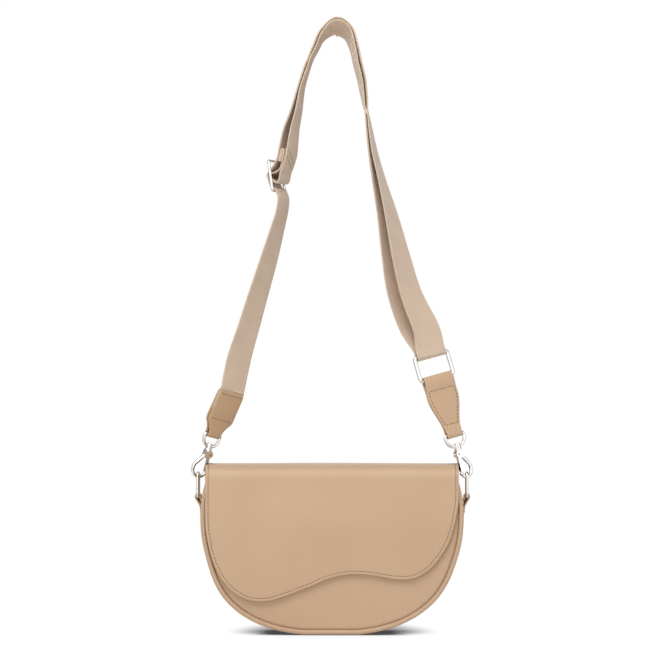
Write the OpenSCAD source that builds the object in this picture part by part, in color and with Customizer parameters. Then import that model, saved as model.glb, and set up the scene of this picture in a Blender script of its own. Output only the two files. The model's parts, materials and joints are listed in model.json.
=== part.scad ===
// Saddle handbag with a wavy flap and a webbing shoulder strap.
// Millimetres, +Z up, front towards -Y. The origin is the middle of the bag's base,
// and the strap stands up as it hangs from a shoulder or a hook.

/* [Bag body] */
// Width at the widest place
body_w = 260; // [240:1:280]
// How far each top corner draws in from the widest place
top_inset = 7.5; // [5:0.5:12]
// Height of the widest place above the base
widest_z = 118; // [110:1:126]
// Height of the mouth's edge above the base
mouth_z = 156; // [150:1:156]
// Width of the flat that the bag stands on
base_w = 54; // [40:1:70]
// Depth between the seams of the front and the back panel
seam_depth = 56.8; // [50:0.2:64]
// How far each panel bulges at its middle
panel_crown = 3.1; // [1:0.1:4]
// Thickness of the leather panels
panel_t = 1.6; // [1.2:0.1:2]
// Thickness of the gusset
gusset_t = 1.8; // [1.4:0.1:2.2]
// How far the gusset's ends draw in at the mouth
gusset_draw = 4.5; // [4:0.1:6]
// Radius of the rolled seam edge
rim_r = 2.6; // [2:0.1:3]
// Thickness of the lining
lining_t = 1; // [0.6:0.1:1.4]

/* [Flap] */
// How far each side of the flap's front stays inside the body's widest place
flap_inset = 5.5; // [4:0.1:8]
// How far the flap's top draws in further where it passes between the hooks
neck_inset = 7; // [6:0.1:10]
// Height of the flap's top above the base
flap_top_z = 168; // [167:1:176]
// Drop of the flap's lowest lobe below its top
flap_drop = 136; // [110:1:144]
// Length of the flap's hem down the back panel
hem_drop = 30; // [20:1:60]
// Thickness of the outer leather
flap_t = 1.4; // [1:0.1:1.8]
// Thickness of the facing under the flap's front
facing_t = 0.9; // [0.6:0.1:1.2]
// Outer radius of the fold at the front
front_fold_r = 14; // [10:1:16]
// Outer radius of the fold at the back
back_fold_r = 12; // [9:1:15]
// How far the flap's front bulges at its middle
flap_crown = 2.4; // [1:0.1:3]

/* [Magnetic snap] */
// Diameter of both discs
snap_d = 18; // [14:1:20]
// Height of the snap above the flap's edge at its middle
snap_lift = 25.5; // [20:0.5:38]
// Diameter of the stud's nose
snap_nose_d = 7; // [5:0.5:9]

/* [Side rings and their tabs] */
// Wire diameter of a side ring
ring_wire = 2.8; // [2.4:0.1:3.2]
// Width of a side ring between wire centres
ring_w = 20; // [18.5:0.1:21]
// Height of a side ring between wire centres
ring_h = 23.8; // [22:0.1:26]
// Distance of each ring's bar beyond the gusset
ring_out = 4.5; // [4.3:0.1:5.5]
// Height of each ring's bar above the base
ring_bar_z = 134.5; // [131:0.5:138]
// Width of a side tab
side_tab_w = 14.8; // [12:0.1:15]
// Length of a side tab below the bar
side_tab_drop = 22; // [18:1:26]
// Leather thickness of the tabs
tab_t = 1.6; // [1.2:0.1:1.8]

/* [Snap hooks] */
// Wire diameter of the hook's bow
hook_wire = 3.4; // [3:0.1:3.8]
// Radius of the hook's bow at its centre line
bow_r = 8; // [7:0.1:8.5]
// Distance from the bow to the gate's pin
hook_reach = 23.9; // [22:0.1:28]
// Inner width of the eye
eye_w = 18; // [17.6:0.1:20]
// Wire diameter of the eye
eye_wire = 3; // [2.6:0.1:3.2]
// Diameter of the swivel stem
stem_d = 3; // [2.4:0.1:3.4]
// Diameter of the gate's pin
gate_pin_d = 1.6; // [1.2:0.1:1.8]
// Width of the gate
gate_w = 3; // [2.4:0.1:3.4]

/* [Strap] */
// Width of the webbing
strap_w = 32; // [28:0.5:32]
// Thickness of the webbing
strap_t = 1.6; // [1.2:0.1:1.6]
// Height of the strap's crown above the hooks
strap_rise = 446.5; // [400:0.5:500]
// Room beside the webbing in the rectangular ring and in the slider
link_side_gap = 0.6; // [0.4:0.1:1.5]
// Height of the rectangular ring between its bars
link_h = 24.2; // [22:0.1:28]
// Wire diameter of the rectangular ring
link_wire = 3.8; // [3.2:0.1:4]
// Wire diameter of the slider
slider_wire = 2.8; // [2.4:0.1:3]
// Distance between the slider's bars
slider_pitch = 15; // [14:0.5:18]
// Length of the left leather tab above the eye's bar
left_tab_l = 47; // [42:1:54]
// Length of the right leather tab between its bars
right_tab_l = 58; // [52:1:64]
// How far the leather tabs stand beyond the webbing's edges
tab_margin = 1; // [0.8:0.1:2]

/* [Hidden] */

LEATHER = "#c9a98a";
LEATHER_DARK = "#b39272";
FACING = "#c3a587";
LINING = "#b79c80";
WEBBING = "#d3bba4";
NICKEL = "#c9cbcf";
STEEL = "#a9abb0";

// Clearances
ply_gap = 0.2;      // between two plies sewn together
loop_gap = 0.3;     // between a bar and what folds round it
run_gap = 0.06;     // radial, for pins and stems that turn
link_gap = 1.2;     // between a hook's bow and the side ring
part_gap = 0.1;     // half the parting between two stretches of the flap or the webbing
cut = 1;            // overrun of every cut

top_w = body_w - 2 * top_inset;
flap_w = body_w - 2 * flap_inset;
flap_neck_w = flap_w - 2 * neck_inset;

// The body's outline: half a superellipse below the widest place, a soft curve above it
squareness = 2.5;
start_angle = asin(pow(base_w / body_w, squareness / 2));
flat_share = pow(cos(start_angle), 2 / squareness);
low_steps = 18;
high_steps = 5;

function half_width(z) =
    z >= widest_z
        ? body_w / 2 - (body_w - top_w) / 2 * pow((z - widest_z) / (mouth_z - widest_z), 2)
        : body_w / 2
            * pow(1 - pow(flat_share * (1 - max(z, 0) / widest_z), squareness), 1 / squareness);

low_outline = [
    for (i = [0 : low_steps])
        let (a = start_angle + (90 - start_angle) * i / low_steps)
            [body_w / 2 * pow(sin(a), 2 / squareness),
             widest_z * (1 - pow(cos(a), 2 / squareness) / flat_share)]
];
high_outline = [
    for (i = [1 : high_steps])
        let (z = widest_z + (mouth_z - widest_z) * i / high_steps) [half_width(z), z]
];
right_side = concat(low_outline, high_outline);

function unit(v) = v / norm(v);
function square_to(v, axis) = unit(v - (v * axis) * axis);

// An outline moved inwards by d(z), point by point, along its own normal
function inset(pts, d) = [
    for (i = [0 : len(pts) - 1])
        let (
            before = pts[max(i - 1, 0)],
            after = pts[min(i + 1, len(pts) - 1)],
            t = unit(after - before),
            keep = i == 0 ? [0, 1] : i == len(pts) - 1 ? [-1, 0] : [-t[1], t[0]]
        ) pts[i] + d * keep
];
function mirrored(pts) = [for (i = [len(pts) - 1 : -1 : 0]) [-pts[i][0], pts[i][1]]];
// From the top left corner, down round the base and up to the top right corner
function whole(pts) = concat(mirrored(pts), pts);

// How much a panel bulges at (x, z), from 0 at its edge to 1 at its middle
function bulge(x, z, top) =
    let (s = min(abs(x) / half_width(z), 1), t = min(abs(2 * z / top - 1), 1))
        (1 - pow(s, 2.5)) * (1 - pow(t, 2.5));

// A closed solid between two grids of points that have the same rows
module sheet(near, far) {
    rows = len(near);
    cols = len(near[0]);
    count = rows * cols;
    points = concat([for (r = near) each r], [for (r = far) each r]);
    function at(r, c, side) = side * count + r * cols + c;
    faces = [
        for (r = [0 : rows - 2], c = [0 : cols - 2]) each [
            [at(r, c, 0), at(r, c + 1, 0), at(r + 1, c + 1, 0)],
            [at(r, c, 0), at(r + 1, c + 1, 0), at(r + 1, c, 0)],
            [at(r, c, 1), at(r + 1, c + 1, 1), at(r, c + 1, 1)],
            [at(r, c, 1), at(r + 1, c, 1), at(r + 1, c + 1, 1)],
        ],
        for (r = [0 : rows - 2]) each [
            [at(r, 0, 0), at(r + 1, 0, 0), at(r + 1, 0, 1)],
            [at(r, 0, 0), at(r + 1, 0, 1), at(r, 0, 1)],
            [at(r, cols - 1, 0), at(r + 1, cols - 1, 1), at(r + 1, cols - 1, 0)],
            [at(r, cols - 1, 0), at(r, cols - 1, 1), at(r + 1, cols - 1, 1)],
        ],
        for (c = [0 : cols - 2]) each [
            [at(0, c, 0), at(0, c + 1, 1), at(0, c + 1, 0)],
            [at(0, c, 0), at(0, c, 1), at(0, c + 1, 1)],
            [at(rows - 1, c, 0), at(rows - 1, c + 1, 0), at(rows - 1, c + 1, 1)],
            [at(rows - 1, c, 0), at(rows - 1, c + 1, 1), at(rows - 1, c, 1)],
        ],
    ];
    polyhedron(points, faces, convexity = 6);
}

// Bag body

panel_edge = 2 * rim_r + ply_gap;
panel_y = seam_depth / 2;
panel_cols = 12;
panel_rows = [
    for (p = inset(right_side, panel_edge)) [p[0], max(p[1], panel_edge)]
];

// side is -1 for the front and 1 for the back; depth is measured from the outer face
function panel_grid(side, depth) = [
    for (p = panel_rows) [
        for (i = [-panel_cols / 2 : panel_cols / 2])
            let (x = p[0] * 2 * i / panel_cols)
                [x, side * (panel_y - depth + panel_crown * bulge(x, p[1], mouth_z)), p[1]]
    ]
];

module panel(side) {
    if (side < 0)
        sheet(panel_grid(side, panel_t), panel_grid(side, 0));
    else
        sheet(panel_grid(side, 0), panel_grid(side, panel_t));
}

module front_panel() {
    color(LEATHER) difference() {
        panel(-1);
        translate([0, 0, snap_z]) rotate([90, 0, 0])
            cylinder(d = snap_d + 2 * ply_gap, h = seam_depth, $fn = 48);
    }
}

module back_panel() {
    color(LEATHER) panel(1);
}

rim_y = panel_y - panel_t / 2;
rim_sides = 8;

// A tube along the seam; its middle line lies one radius inside the outline
module rim(side) {
    line = whole(inset(right_side, rim_r));
    near = [
        for (k = [0 : rim_sides - 1]) [
            for (i = [0 : len(line) - 1])
                let (
                    before = line[max(i - 1, 0)],
                    after = line[min(i + 1, len(line) - 1)],
                    end = i == 0 || i == len(line) - 1,
                    t = unit(after - before),
                    n = end ? [i == 0 ? -1 : 1, 0] : [t[1], -t[0]],
                    a = -360 * (k + 0.5) / rim_sides,
                    r = rim_r / cos(180 / rim_sides)
                ) [line[i][0] + r * cos(a) * n[0], side * rim_y + r * sin(a),
                   line[i][1] + r * cos(a) * n[1]]
        ]
    ];
    sections = len(line);
    points = [for (i = [0 : sections - 1], k = [0 : rim_sides - 1]) near[k][i]];
    function at(i, k) = i * rim_sides + k % rim_sides;
    faces = concat(
        [
            for (i = [0 : sections - 2], k = [0 : rim_sides - 1]) each [
                [at(i, k), at(i, k + 1), at(i + 1, k + 1)],
                [at(i, k), at(i + 1, k + 1), at(i + 1, k)],
            ]
        ],
        [[for (k = [rim_sides - 1 : -1 : 0]) at(0, k)]],
        [[for (k = [0 : rim_sides - 1]) at(sections - 1, k)]]
    );
    polyhedron(points, faces, convexity = 8);
}

module front_rim() {
    color(LEATHER) rim(-1);
}

module back_rim() {
    color(LEATHER) rim(1);
}

// The gusset runs between the rims, and its ends draw in under the flap
gusset_y = rim_y - rim_r - ply_gap;
function draw_in(z) = gusset_draw * pow(max(z - widest_z / 2, 0) / (mouth_z - widest_z / 2), 2);
function gusset_side(d) = [
    for (p = inset(right_side, d)) [p[0] - draw_in(p[1]), p[1]]
];

module gusset() {
    color(LEATHER) rotate([90, 0, 0])
        linear_extrude(height = 2 * gusset_y, center = true, convexity = 6)
            polygon(concat(whole(gusset_side(0)), reversed(whole(gusset_side(gusset_t)))));
}

function reversed(pts) = [for (i = [len(pts) - 1 : -1 : 0]) pts[i]];

// The lining is an open bag of one thin ply inside the panels and the gusset
lining_y = panel_y - panel_t - ply_gap;
lining_edge = panel_edge + ply_gap;

module lining() {
    outer = whole(gusset_side(lining_edge));
    inner = whole(gusset_side(lining_edge + lining_t));
    top = mouth_z;
    color(LINING) rotate([90, 0, 0]) difference() {
        linear_extrude(height = 2 * lining_y, center = true, convexity = 6) polygon(outer);
        linear_extrude(height = 2 * (lining_y - lining_t), center = true, convexity = 6)
            polygon(concat(
                [[inner[0][0], top + cut]], inner,
                [[inner[len(inner) - 1][0], top + cut]]
            ));
    }
}

// Flap: one piece of leather on the real bag, in three stretches that meet at its two folds

flap_inner_y = rim_y + rim_r + 2 * ply_gap;
stack_t = flap_t + facing_t + ply_gap / 2;
flap_y = flap_inner_y + stack_t;
front_fold = [-(flap_y - front_fold_r), flap_top_z - front_fold_r];
back_fold = [flap_y - back_fold_r, flap_top_z - back_fold_r];
parting_angle = 45;
flap_cols = 36;
top_dome = 1.5;
flap_top_cols = 12;

// How far the wavy edge hangs below the flap's top, as shares of flap_drop, every ten
// degrees of the angle whose sine is the place across the front
wave_shares = [
    0.404, 0.537, 0.705, 0.838, 0.934, 0.988, 0.991, 0.947, 0.886, 0.820,
    0.795, 0.807, 0.831, 0.825, 0.763, 0.653, 0.522, 0.350, 0.242,
];

function catmull(p, s) =
    let (
        last = len(p) - 1,
        i = min(floor(s), last - 1),
        f = s - i,
        a = p[max(i - 1, 0)], b = p[i], c = p[i + 1], d = p[min(i + 2, last)]
    ) 0.5 * (2 * b + (c - a) * f + (2 * a - 5 * b + 4 * c - d) * f * f
        + (3 * b - a - 3 * c + d) * f * f * f);

function wave_z(angle) = flap_top_z - flap_drop * catmull(wave_shares, (angle + 90) / 10);

snap_z = wave_z(0) + snap_lift;

// A point on the round of a fold: radius r, angle from straight up towards the panel
function fold_point(fold, side, r, angle) =
    [fold[0] + side * r * sin(angle), fold[1] + r * cos(angle)];

fold_rows = 4;
front_rows = 9;

// Rows of the flap's front, from the fold down to the wavy edge, depth in from the skin
function front_grid(depth, edge) = concat(
    [
        for (k = [0 : fold_rows - 1])
            let (
                first = parting_angle + part_gap / front_fold_r * 180 / PI,
                a = first + (90 - first) * k / (fold_rows - 1),
                q = fold_point(front_fold, -1, front_fold_r - depth, a)
            ) [for (c = [0 : flap_cols]) [flap_w / 2 * sin(180 * c / flap_cols - 90), q[0], q[1]]]
    ],
    [
        for (k = [1 : front_rows]) [
            for (c = [0 : flap_cols])
                let (
                    angle = 180 * c / flap_cols - 90,
                    x = (flap_w / 2 - edge) * sin(angle),
                    low = wave_z(angle) + edge,
                    z = front_fold[1] + (low - front_fold[1]) * k / front_rows
                ) [x, -(flap_y - depth) - flap_crown * bulge(x, z, flap_top_z), z]
        ]
    ]
);

module flap_front() {
    color(LEATHER) sheet(front_grid(0, 0), front_grid(flap_t, 0));
}

// The facing stops short of the flap's turned edge
facing_edge = 1.2;

module flap_facing() {
    inner = flap_t + ply_gap / 2;
    color(FACING) difference() {
        sheet(front_grid(inner, facing_edge), front_grid(inner + facing_t, facing_edge));
        translate([0, 0, snap_z]) rotate([90, 0, 0])
            cylinder(d = snap_d + 2 * ply_gap, h = 2 * seam_depth, $fn = 48);
    }
}

// Rows of the flap's top, from the front fold to the back fold
top_rows = 8;
// The flap has its full width at the front fold and draws in between the hooks
neck_y = flap_y - front_fold_r;
function neck(y) =
    flap_neck_w / 2 + (flap_w - flap_neck_w) / 2 * pow(min(abs(y) / neck_y, 1), 3);

function top_row(y, z, lift) = [
    for (c = [-flap_top_cols / 2 : flap_top_cols / 2])
        let (s = 2 * c / flap_top_cols) [neck(y) * s, y, z + lift * (1 - s * s)]
];

function top_grid(depth) = concat(
    [
        for (k = [0 : fold_rows - 1])
            let (
                last = parting_angle - part_gap / front_fold_r * 180 / PI,
                a = last * (1 - k / (fold_rows - 1)),
                q = fold_point(front_fold, -1, front_fold_r - depth, a)
            ) top_row(q[0], q[1], 0)
    ],
    [
        for (k = [1 : top_rows - 1])
            let (
                s = k / top_rows,
                y = front_fold[0] + (back_fold[0] - front_fold[0]) * s
            ) top_row(y, flap_top_z - depth, top_dome * sin(180 * s))
    ],
    [
        for (k = [0 : fold_rows - 1])
            let (
                last = parting_angle - part_gap / back_fold_r * 180 / PI,
                a = last * k / (fold_rows - 1),
                q = fold_point(back_fold, 1, back_fold_r - depth, a)
            ) top_row(q[0], q[1], 0)
    ]
);

module flap_top() {
    color(LEATHER) sheet(top_grid(stack_t), top_grid(0));
}

// The hem that is sewn to the back panel
hem_rows = 4;
function hem_grid(depth) = concat(
    [
        for (k = [0 : fold_rows - 1])
            let (
                first = parting_angle + part_gap / back_fold_r * 180 / PI,
                a = first + (90 - first) * k / (fold_rows - 1),
                q = fold_point(back_fold, 1, back_fold_r - depth, a)
            ) top_row(q[0], q[1], 0)
    ],
    [
        for (k = [1 : hem_rows])
            let (z = back_fold[1] - hem_drop * k / hem_rows) [
                for (c = [-flap_top_cols / 2 : flap_top_cols / 2])
                    let (x = neck(flap_y) * 2 * c / flap_top_cols)
                        [x, flap_y - depth + flap_crown * bulge(x, z, flap_top_z), z]
            ]
    ]
);

module flap_hem() {
    color(LEATHER) sheet(hem_grid(stack_t), hem_grid(0));
}

// Magnetic snap: a socket set into the front panel and a stud set into the facing
snap_rim = 1.6;
snap_socket_y = panel_y + panel_crown * bulge(0, snap_z, mouth_z);
snap_stud_y = flap_inner_y + stack_t - flap_t - ply_gap / 2
    + flap_crown * bulge(0, snap_z, flap_top_z);
snap_split = (snap_socket_y + snap_stud_y - facing_t) / 2;

module snap_socket() {
    back = snap_socket_y - panel_t;
    front = snap_split - ply_gap;
    color(NICKEL) translate([0, -back, snap_z]) rotate([90, 0, 0]) difference() {
        cylinder(d = snap_d, h = front - back, $fn = 64);
        translate([0, 0, front - back - snap_rim])
            cylinder(d = snap_nose_d + 2 * loop_gap, h = snap_rim + cut, $fn = 48);
    }
}

module snap_stud() {
    back = snap_split + ply_gap;
    color(NICKEL) translate([0, -snap_stud_y, snap_z]) rotate([-90, 0, 0]) {
        cylinder(d = snap_d, h = snap_stud_y - back, $fn = 64);
        cylinder(d = snap_nose_d, h = snap_stud_y - back + snap_rim - ply_gap, $fn = 48);
    }
}

// Wire forms

// A closed loop of wire in the X-Z plane: w and h between wire centres
module wire_loop(w, h, r_low, r_high, wire) {
    module corner(x, z, r, turn) {
        translate([x, 0, z]) rotate([90, 0, 0]) rotate([0, 0, turn])
            rotate_extrude(angle = 90, $fn = 64) translate([r, 0]) circle(d = wire, $fn = 32);
    }
    module rod(x, z, l, turn) {
        translate([x, 0, z]) rotate([0, turn, 0]) cylinder(d = wire, h = l, $fn = 32);
    }
    rod(-w / 2 + r_low, 0, w - 2 * r_low, 90);
    rod(-w / 2 + r_high, h, w - 2 * r_high, 90);
    for (s = [-1, 1]) rod(s * w / 2, r_low, h - r_low - r_high, 0);
    corner(w / 2 - r_low, r_low, r_low, -90);
    corner(-w / 2 + r_low, r_low, r_low, 180);
    corner(w / 2 - r_high, h - r_high, r_high, 0);
    corner(-w / 2 + r_high, h - r_high, r_high, 90);
}

// Moves a shape so that its X, Y and Z run along x, the square of both, and z
module along(at, x, z) {
    y = cross(z, x);
    multmatrix([
        [x[0], y[0], z[0], at[0]],
        [x[1], y[1], z[1], at[1]],
        [x[2], y[2], z[2], at[2]],
        [0, 0, 0, 1],
    ]) children();
}

// Side rings and their tabs

ring_corner_low = 3;
ring_corner_high = 4.5;
hook_z = ring_bar_z + ring_h - (ring_wire + hook_wire) / 2 - link_gap;
function gusset_x(z) = half_width(z) - draw_in(z);
ring_x = max([for (z = [widest_z, ring_bar_z, mouth_z]) gusset_x(z)]) + ring_out;

module side_ring(side) {
    color(NICKEL) translate([side * ring_x, 0, ring_bar_z]) rotate([0, 0, 90])
        wire_loop(ring_w, ring_h, ring_corner_low, ring_corner_high, ring_wire);
}

module left_side_ring() {
    side_ring(-1);
}

module right_side_ring() {
    side_ring(1);
}

// A strip folded round the ring's bar and sewn to the gusset below it
tab_bore = ring_wire / 2 + loop_gap;

module side_tab(side) {
    low = ring_bar_z - side_tab_drop;
    high = ring_bar_z - side_tab_drop / 3;
    roll = tab_bore + tab_t;
    function seat(z) = [gusset_x(z) + ply_gap, z];
    color(LEATHER) mirror([side < 0 ? 1 : 0, 0, 0]) rotate([90, 0, 0])
        linear_extrude(height = side_tab_w, center = true, convexity = 4) difference() {
            union() {
                translate([ring_x, ring_bar_z]) circle(r = roll, $fn = 48);
                polygon([
                    seat(low), seat(low) + [2 * tab_t, 0],
                    seat(low) + [2 * tab_t, side_tab_drop / 2],
                    [ring_x + roll * cos(30), ring_bar_z - roll / 2],
                    [ring_x - roll * cos(45), ring_bar_z - roll / 2],
                    seat(high), seat((low + high) / 2),
                ]);
            }
            translate([ring_x, ring_bar_z]) circle(r = tab_bore, $fn = 48);
        }
}

module left_side_tab() {
    side_tab(-1);
}

module right_side_tab() {
    side_tab(1);
}

// Snap hooks. Each hook's own axes: Z up its stem, X towards the gate, origin in the bow
// where the side ring crosses it.

left_lean_angle = 17;
right_lean_angle = 15;
left_hook_angle = 35;
right_hook_angle = 225;
left_strap_angle = 44;
right_strap_angle = 205;

stem_x = 2;
pin_drop = 2.8;
collar_l = 3;
boss_l = 4.2;
eye_drop = 12.6;
pin_z = hook_reach;
collar_top = pin_z + pin_drop + collar_l;
boss_top = collar_top + run_gap + boss_l;
hook_l = boss_top - boss_l / 4 - eye_wire / 2 + eye_drop;
left_up = [sin(left_lean_angle), 0, cos(left_lean_angle)];
right_up = [-sin(right_lean_angle), 0, cos(right_lean_angle)];
function turned(a) = [cos(a), sin(a), 0];
left_out = square_to(turned(left_hook_angle), left_up);
right_out = square_to(turned(right_hook_angle), right_up);
left_bow = [-ring_x, 0, hook_z];
right_bow = [ring_x, 0, hook_z];
left_eye = left_bow + stem_x * left_out + hook_l * left_up;
right_eye = right_bow + stem_x * right_out + hook_l * right_up;
left_bar = square_to(turned(left_strap_angle), left_up);
right_bar = square_to(turned(right_strap_angle), right_up);

eye_corner = 2;
eye_bow_r_share = 0.905;
boss_d = 6.4;
head_d = 5;
head_l = 1.4;
collar_d = 7;
fork_w = 7.4;
fork_t = 5;
fork_drop = 4;
limb_d = hook_wire + ply_gap;
leaf_t = 0.35;
gate_t = 2.2;
gate_barrel_d = 2 * gate_t;
cheek_r = 3.2;
slot_w = gate_w + 2 * ply_gap;
pin_x = 4.7;
slot_back = pin_x - gate_barrel_d / 2 - leaf_t - loop_gap;
bow_x = -1.2;
nose_d = 3.8;
nose_angle = 330;
pin_head_d = 2.6;
pin_head_t = 0.4;

// The eye: a D of wire, with a boss that the stem turns in
module hook_eye() {
    w = eye_w + eye_wire;
    color(NICKEL) difference() {
        union() {
            translate([0, 0, hook_l]) mirror([0, 0, 1])
                wire_loop(w, eye_drop, eye_corner, eye_bow_r_share * w / 2, eye_wire);
            translate([0, 0, boss_top - boss_l]) cylinder(d = boss_d, h = boss_l, $fn = 48);
        }
        translate([0, 0, boss_top - boss_l - cut])
            cylinder(d = stem_d + 2 * run_gap, h = boss_l + 2 * cut, $fn = 48);
    }
}

// The limb leaves the fork and meets the bow where it is tangent to it
limb_top = [stem_x - (fork_w - limb_d) / 2, pin_z - fork_drop / 4];
bow_reach = norm(limb_top - [bow_x, bow_r]);
limb_angle = atan2(limb_top[1] - bow_r, limb_top[0] - bow_x) + acos(bow_r / bow_reach);
function on_bow(a) = [bow_x + bow_r * cos(a), bow_r + bow_r * sin(a)];
limb_foot = on_bow(limb_angle);
nose = on_bow(nose_angle);
gate_end = nose + [-ply_gap, (nose_d + gate_t) / 2 + loop_gap];

// Stem, its head above the eye's boss and the collar below it
module spindle() {
    top = boss_top + run_gap - collar_top;
    translate([stem_x, 0, collar_top]) rotate_extrude($fn = 48) polygon([
        [0, -collar_l], [collar_d / 2, -collar_l], [collar_d / 2, 0], [stem_d / 2, 0],
        [stem_d / 2, top], [head_d / 2, top], [head_d / 2, top + head_l], [0, top + head_l],
    ]);
}

// Two cheeks with the gate's pin between them
module fork() {
    top = collar_top - collar_l / 2;
    foot = pin_z - fork_drop;
    difference() {
        rotate([90, 0, 0]) linear_extrude(height = fork_t, center = true) {
            translate([stem_x - fork_w / 2, foot]) square([fork_w - gate_t, top - foot]);
            translate([stem_x - fork_w / 2, pin_z]) square([fork_w, top - pin_z]);
            translate([pin_x, pin_z]) circle(r = cheek_r, $fn = 48);
        }
        translate([slot_back, -slot_w / 2, foot - cut])
            cube([fork_w, slot_w, fork_drop + gate_barrel_d / 2 + loop_gap + cut]);
        translate([pin_x, 0, pin_z]) rotate([90, 0, 0])
            cylinder(d = gate_pin_d, h = fork_t + cut, center = true, $fn = 32);
    }
}

// The frame: spindle, fork, limb and bow in one casting
module hook_frame() {
    limb = limb_top - limb_foot;
    color(NICKEL) {
        spindle();
        fork();
        translate([limb_foot[0], 0, limb_foot[1]]) rotate([0, atan2(limb[0], limb[1]), 0])
            translate([0, 0, -ply_gap])
                cylinder(d = limb_d, h = norm(limb) + ply_gap, $fn = 32);
        translate([bow_x, 0, bow_r]) rotate([90, 0, 0]) rotate([0, 0, limb_angle])
            rotate_extrude(angle = nose_angle - limb_angle, $fn = 96)
                translate([bow_r, 0]) circle(d = hook_wire, $fn = 32);
        translate([nose[0], 0, nose[1]]) sphere(d = nose_d, $fn = 32);
    }
}

// The gate swings inwards on its pin and closes on the nose of the bow
module gate() {
    arm = gate_end - [pin_x, pin_z];
    color(NICKEL) translate([pin_x, 0, pin_z]) rotate([90, 0, 0]) difference() {
        union() {
            cylinder(d = gate_barrel_d, h = gate_w, center = true, $fn = 48);
            rotate([0, 0, atan2(arm[1], arm[0])]) translate([norm(arm) / 2, 0, 0])
                cube([norm(arm), gate_t, gate_w], center = true);
            translate([arm[0], arm[1], 0])
                cylinder(d = gate_t, h = gate_w, center = true, $fn = 32);
        }
        cylinder(d = gate_pin_d + 2 * run_gap, h = gate_w + cut, center = true, $fn = 32);
    }
}

module gate_pin() {
    color(STEEL) translate([pin_x, 0, pin_z]) rotate([90, 0, 0]) {
        cylinder(d = gate_pin_d, h = fork_t + 2 * pin_head_t, center = true, $fn = 32);
        for (s = [-1, 1]) translate([0, 0, s * (fork_t + pin_head_t) / 2])
            cylinder(d = pin_head_d, h = pin_head_t, center = true, $fn = 32);
    }
}

// A leaf that lies in the fork's slot behind the gate's barrel
module gate_spring() {
    color(STEEL) translate([slot_back + loop_gap / 2, 0, pin_z]) rotate([90, 0, 0])
        linear_extrude(height = gate_w - leaf_t, center = true)
            translate([0, -fork_drop / 2]) square([leaf_t, fork_drop]);
}

module on_left_hook() {
    along(left_bow, left_out, left_up) children();
}

module on_right_hook() {
    along(right_bow, right_out, right_up) children();
}

module left_hook_eye() {
    along(left_eye - hook_l * left_up, left_bar, left_up) hook_eye();
}

module right_hook_eye() {
    along(right_eye - hook_l * right_up, right_bar, right_up) hook_eye();
}

module left_hook_frame() {
    on_left_hook() hook_frame();
}

module right_hook_frame() {
    on_right_hook() hook_frame();
}

module left_gate() {
    on_left_hook() gate();
}

module right_gate() {
    on_right_hook() gate();
}

module left_gate_pin() {
    on_left_hook() gate_pin();
}

module right_gate_pin() {
    on_right_hook() gate_pin();
}

module left_gate_spring() {
    on_left_hook() gate_spring();
}

module right_gate_spring() {
    on_right_hook() gate_spring();
}

// Leather tabs of the strap. Each tab's own axes: X along its bar, Z up the tab.

strap_tab_w = strap_w + 2 * tab_margin;
link_w = strap_w + 2 * link_side_gap;
left_tab_angle = 24.1;
right_tab_angle = -16.3;
// The direction that leans by so many degrees towards +X and is square to the bar
function leaning(a, bar) = unit([tan(a), -(tan(a) * bar[0] + bar[2]) / bar[1], 1]);
left_tab_up = leaning(left_tab_angle, left_bar);
right_tab_up = leaning(right_tab_angle, right_bar);
tab_side_gap = 0.5;
tab_core = strap_t + 2 * ply_gap;
tab_full = tab_core + 2 * tab_t;
tab_end_w = eye_w - 2 * tab_side_gap;
eye_bore = eye_wire / 2 + loop_gap;
link_bore = link_wire / 2 + loop_gap;

// Half outlines as shares of the tab's width and of its length
left_tab_shares = [[0.25, 0.04], [0.27, 0.1], [0.35, 0.2], [0.46, 0.29], [0.495, 0.34],
    [0.5, 0.4], [0.49, 1]];
right_tab_shares = [[0.25, 0.04], [0.265, 0.12], [0.3, 0.22], [0.36, 0.34], [0.44, 0.48],
    [0.49, 0.6], [0.5, 0.68], [0.48, 0.97]];

function tab_outline(shares, w, l) = concat(
    [for (p = shares) [p[0] * w, p[1] * l]],
    [for (i = [len(shares) - 1 : -1 : 0]) [-shares[i][0] * w, shares[i][1] * l]]
);

module tab_plate(shares, l) {
    rotate([90, 0, 0]) linear_extrude(height = tab_full, center = true, convexity = 4)
        polygon(tab_outline(shares, strap_tab_w, l));
}

module round_bar(z, d, w) {
    translate([0, 0, z]) rotate([0, 90, 0]) cylinder(d = d, h = w, center = true, $fn = 48);
}

webbing_seat = 22;
seat_gap = 1;

module left_strap_tab() {
    color(LEATHER_DARK) along(left_eye, left_bar, left_tab_up) difference() {
        union() {
            tab_plate(left_tab_shares, left_tab_l);
            round_bar(0, 2 * (eye_bore + tab_t), tab_end_w);
        }
        round_bar(0, 2 * eye_bore, strap_tab_w);
        translate([0, 0, left_tab_l - webbing_seat / 2 + cut / 2])
            cube([strap_w + 2 * ply_gap, tab_core, webbing_seat + cut], center = true);
    }
}

module right_strap_tab() {
    color(LEATHER) along(right_eye, right_bar, right_tab_up) difference() {
        union() {
            tab_plate(right_tab_shares, right_tab_l);
            round_bar(0, 2 * (eye_bore + tab_t), tab_end_w);
            round_bar(right_tab_l, 2 * (link_bore + tab_t), strap_w - 2 * tab_side_gap);
        }
        round_bar(0, 2 * eye_bore, strap_tab_w);
        round_bar(right_tab_l, 2 * link_bore, 2 * strap_tab_w);
    }
}

// The rectangular ring between the right tab and the webbing
link_low = right_eye + right_tab_l * right_tab_up;
link_high = link_low + link_h * right_tab_up;
link_corner = 2.8;

module rect_ring() {
    color(NICKEL) along(link_low, right_bar, right_tab_up)
        wire_loop(link_w + link_wire, link_h, link_corner, link_corner, link_wire);
}

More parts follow.
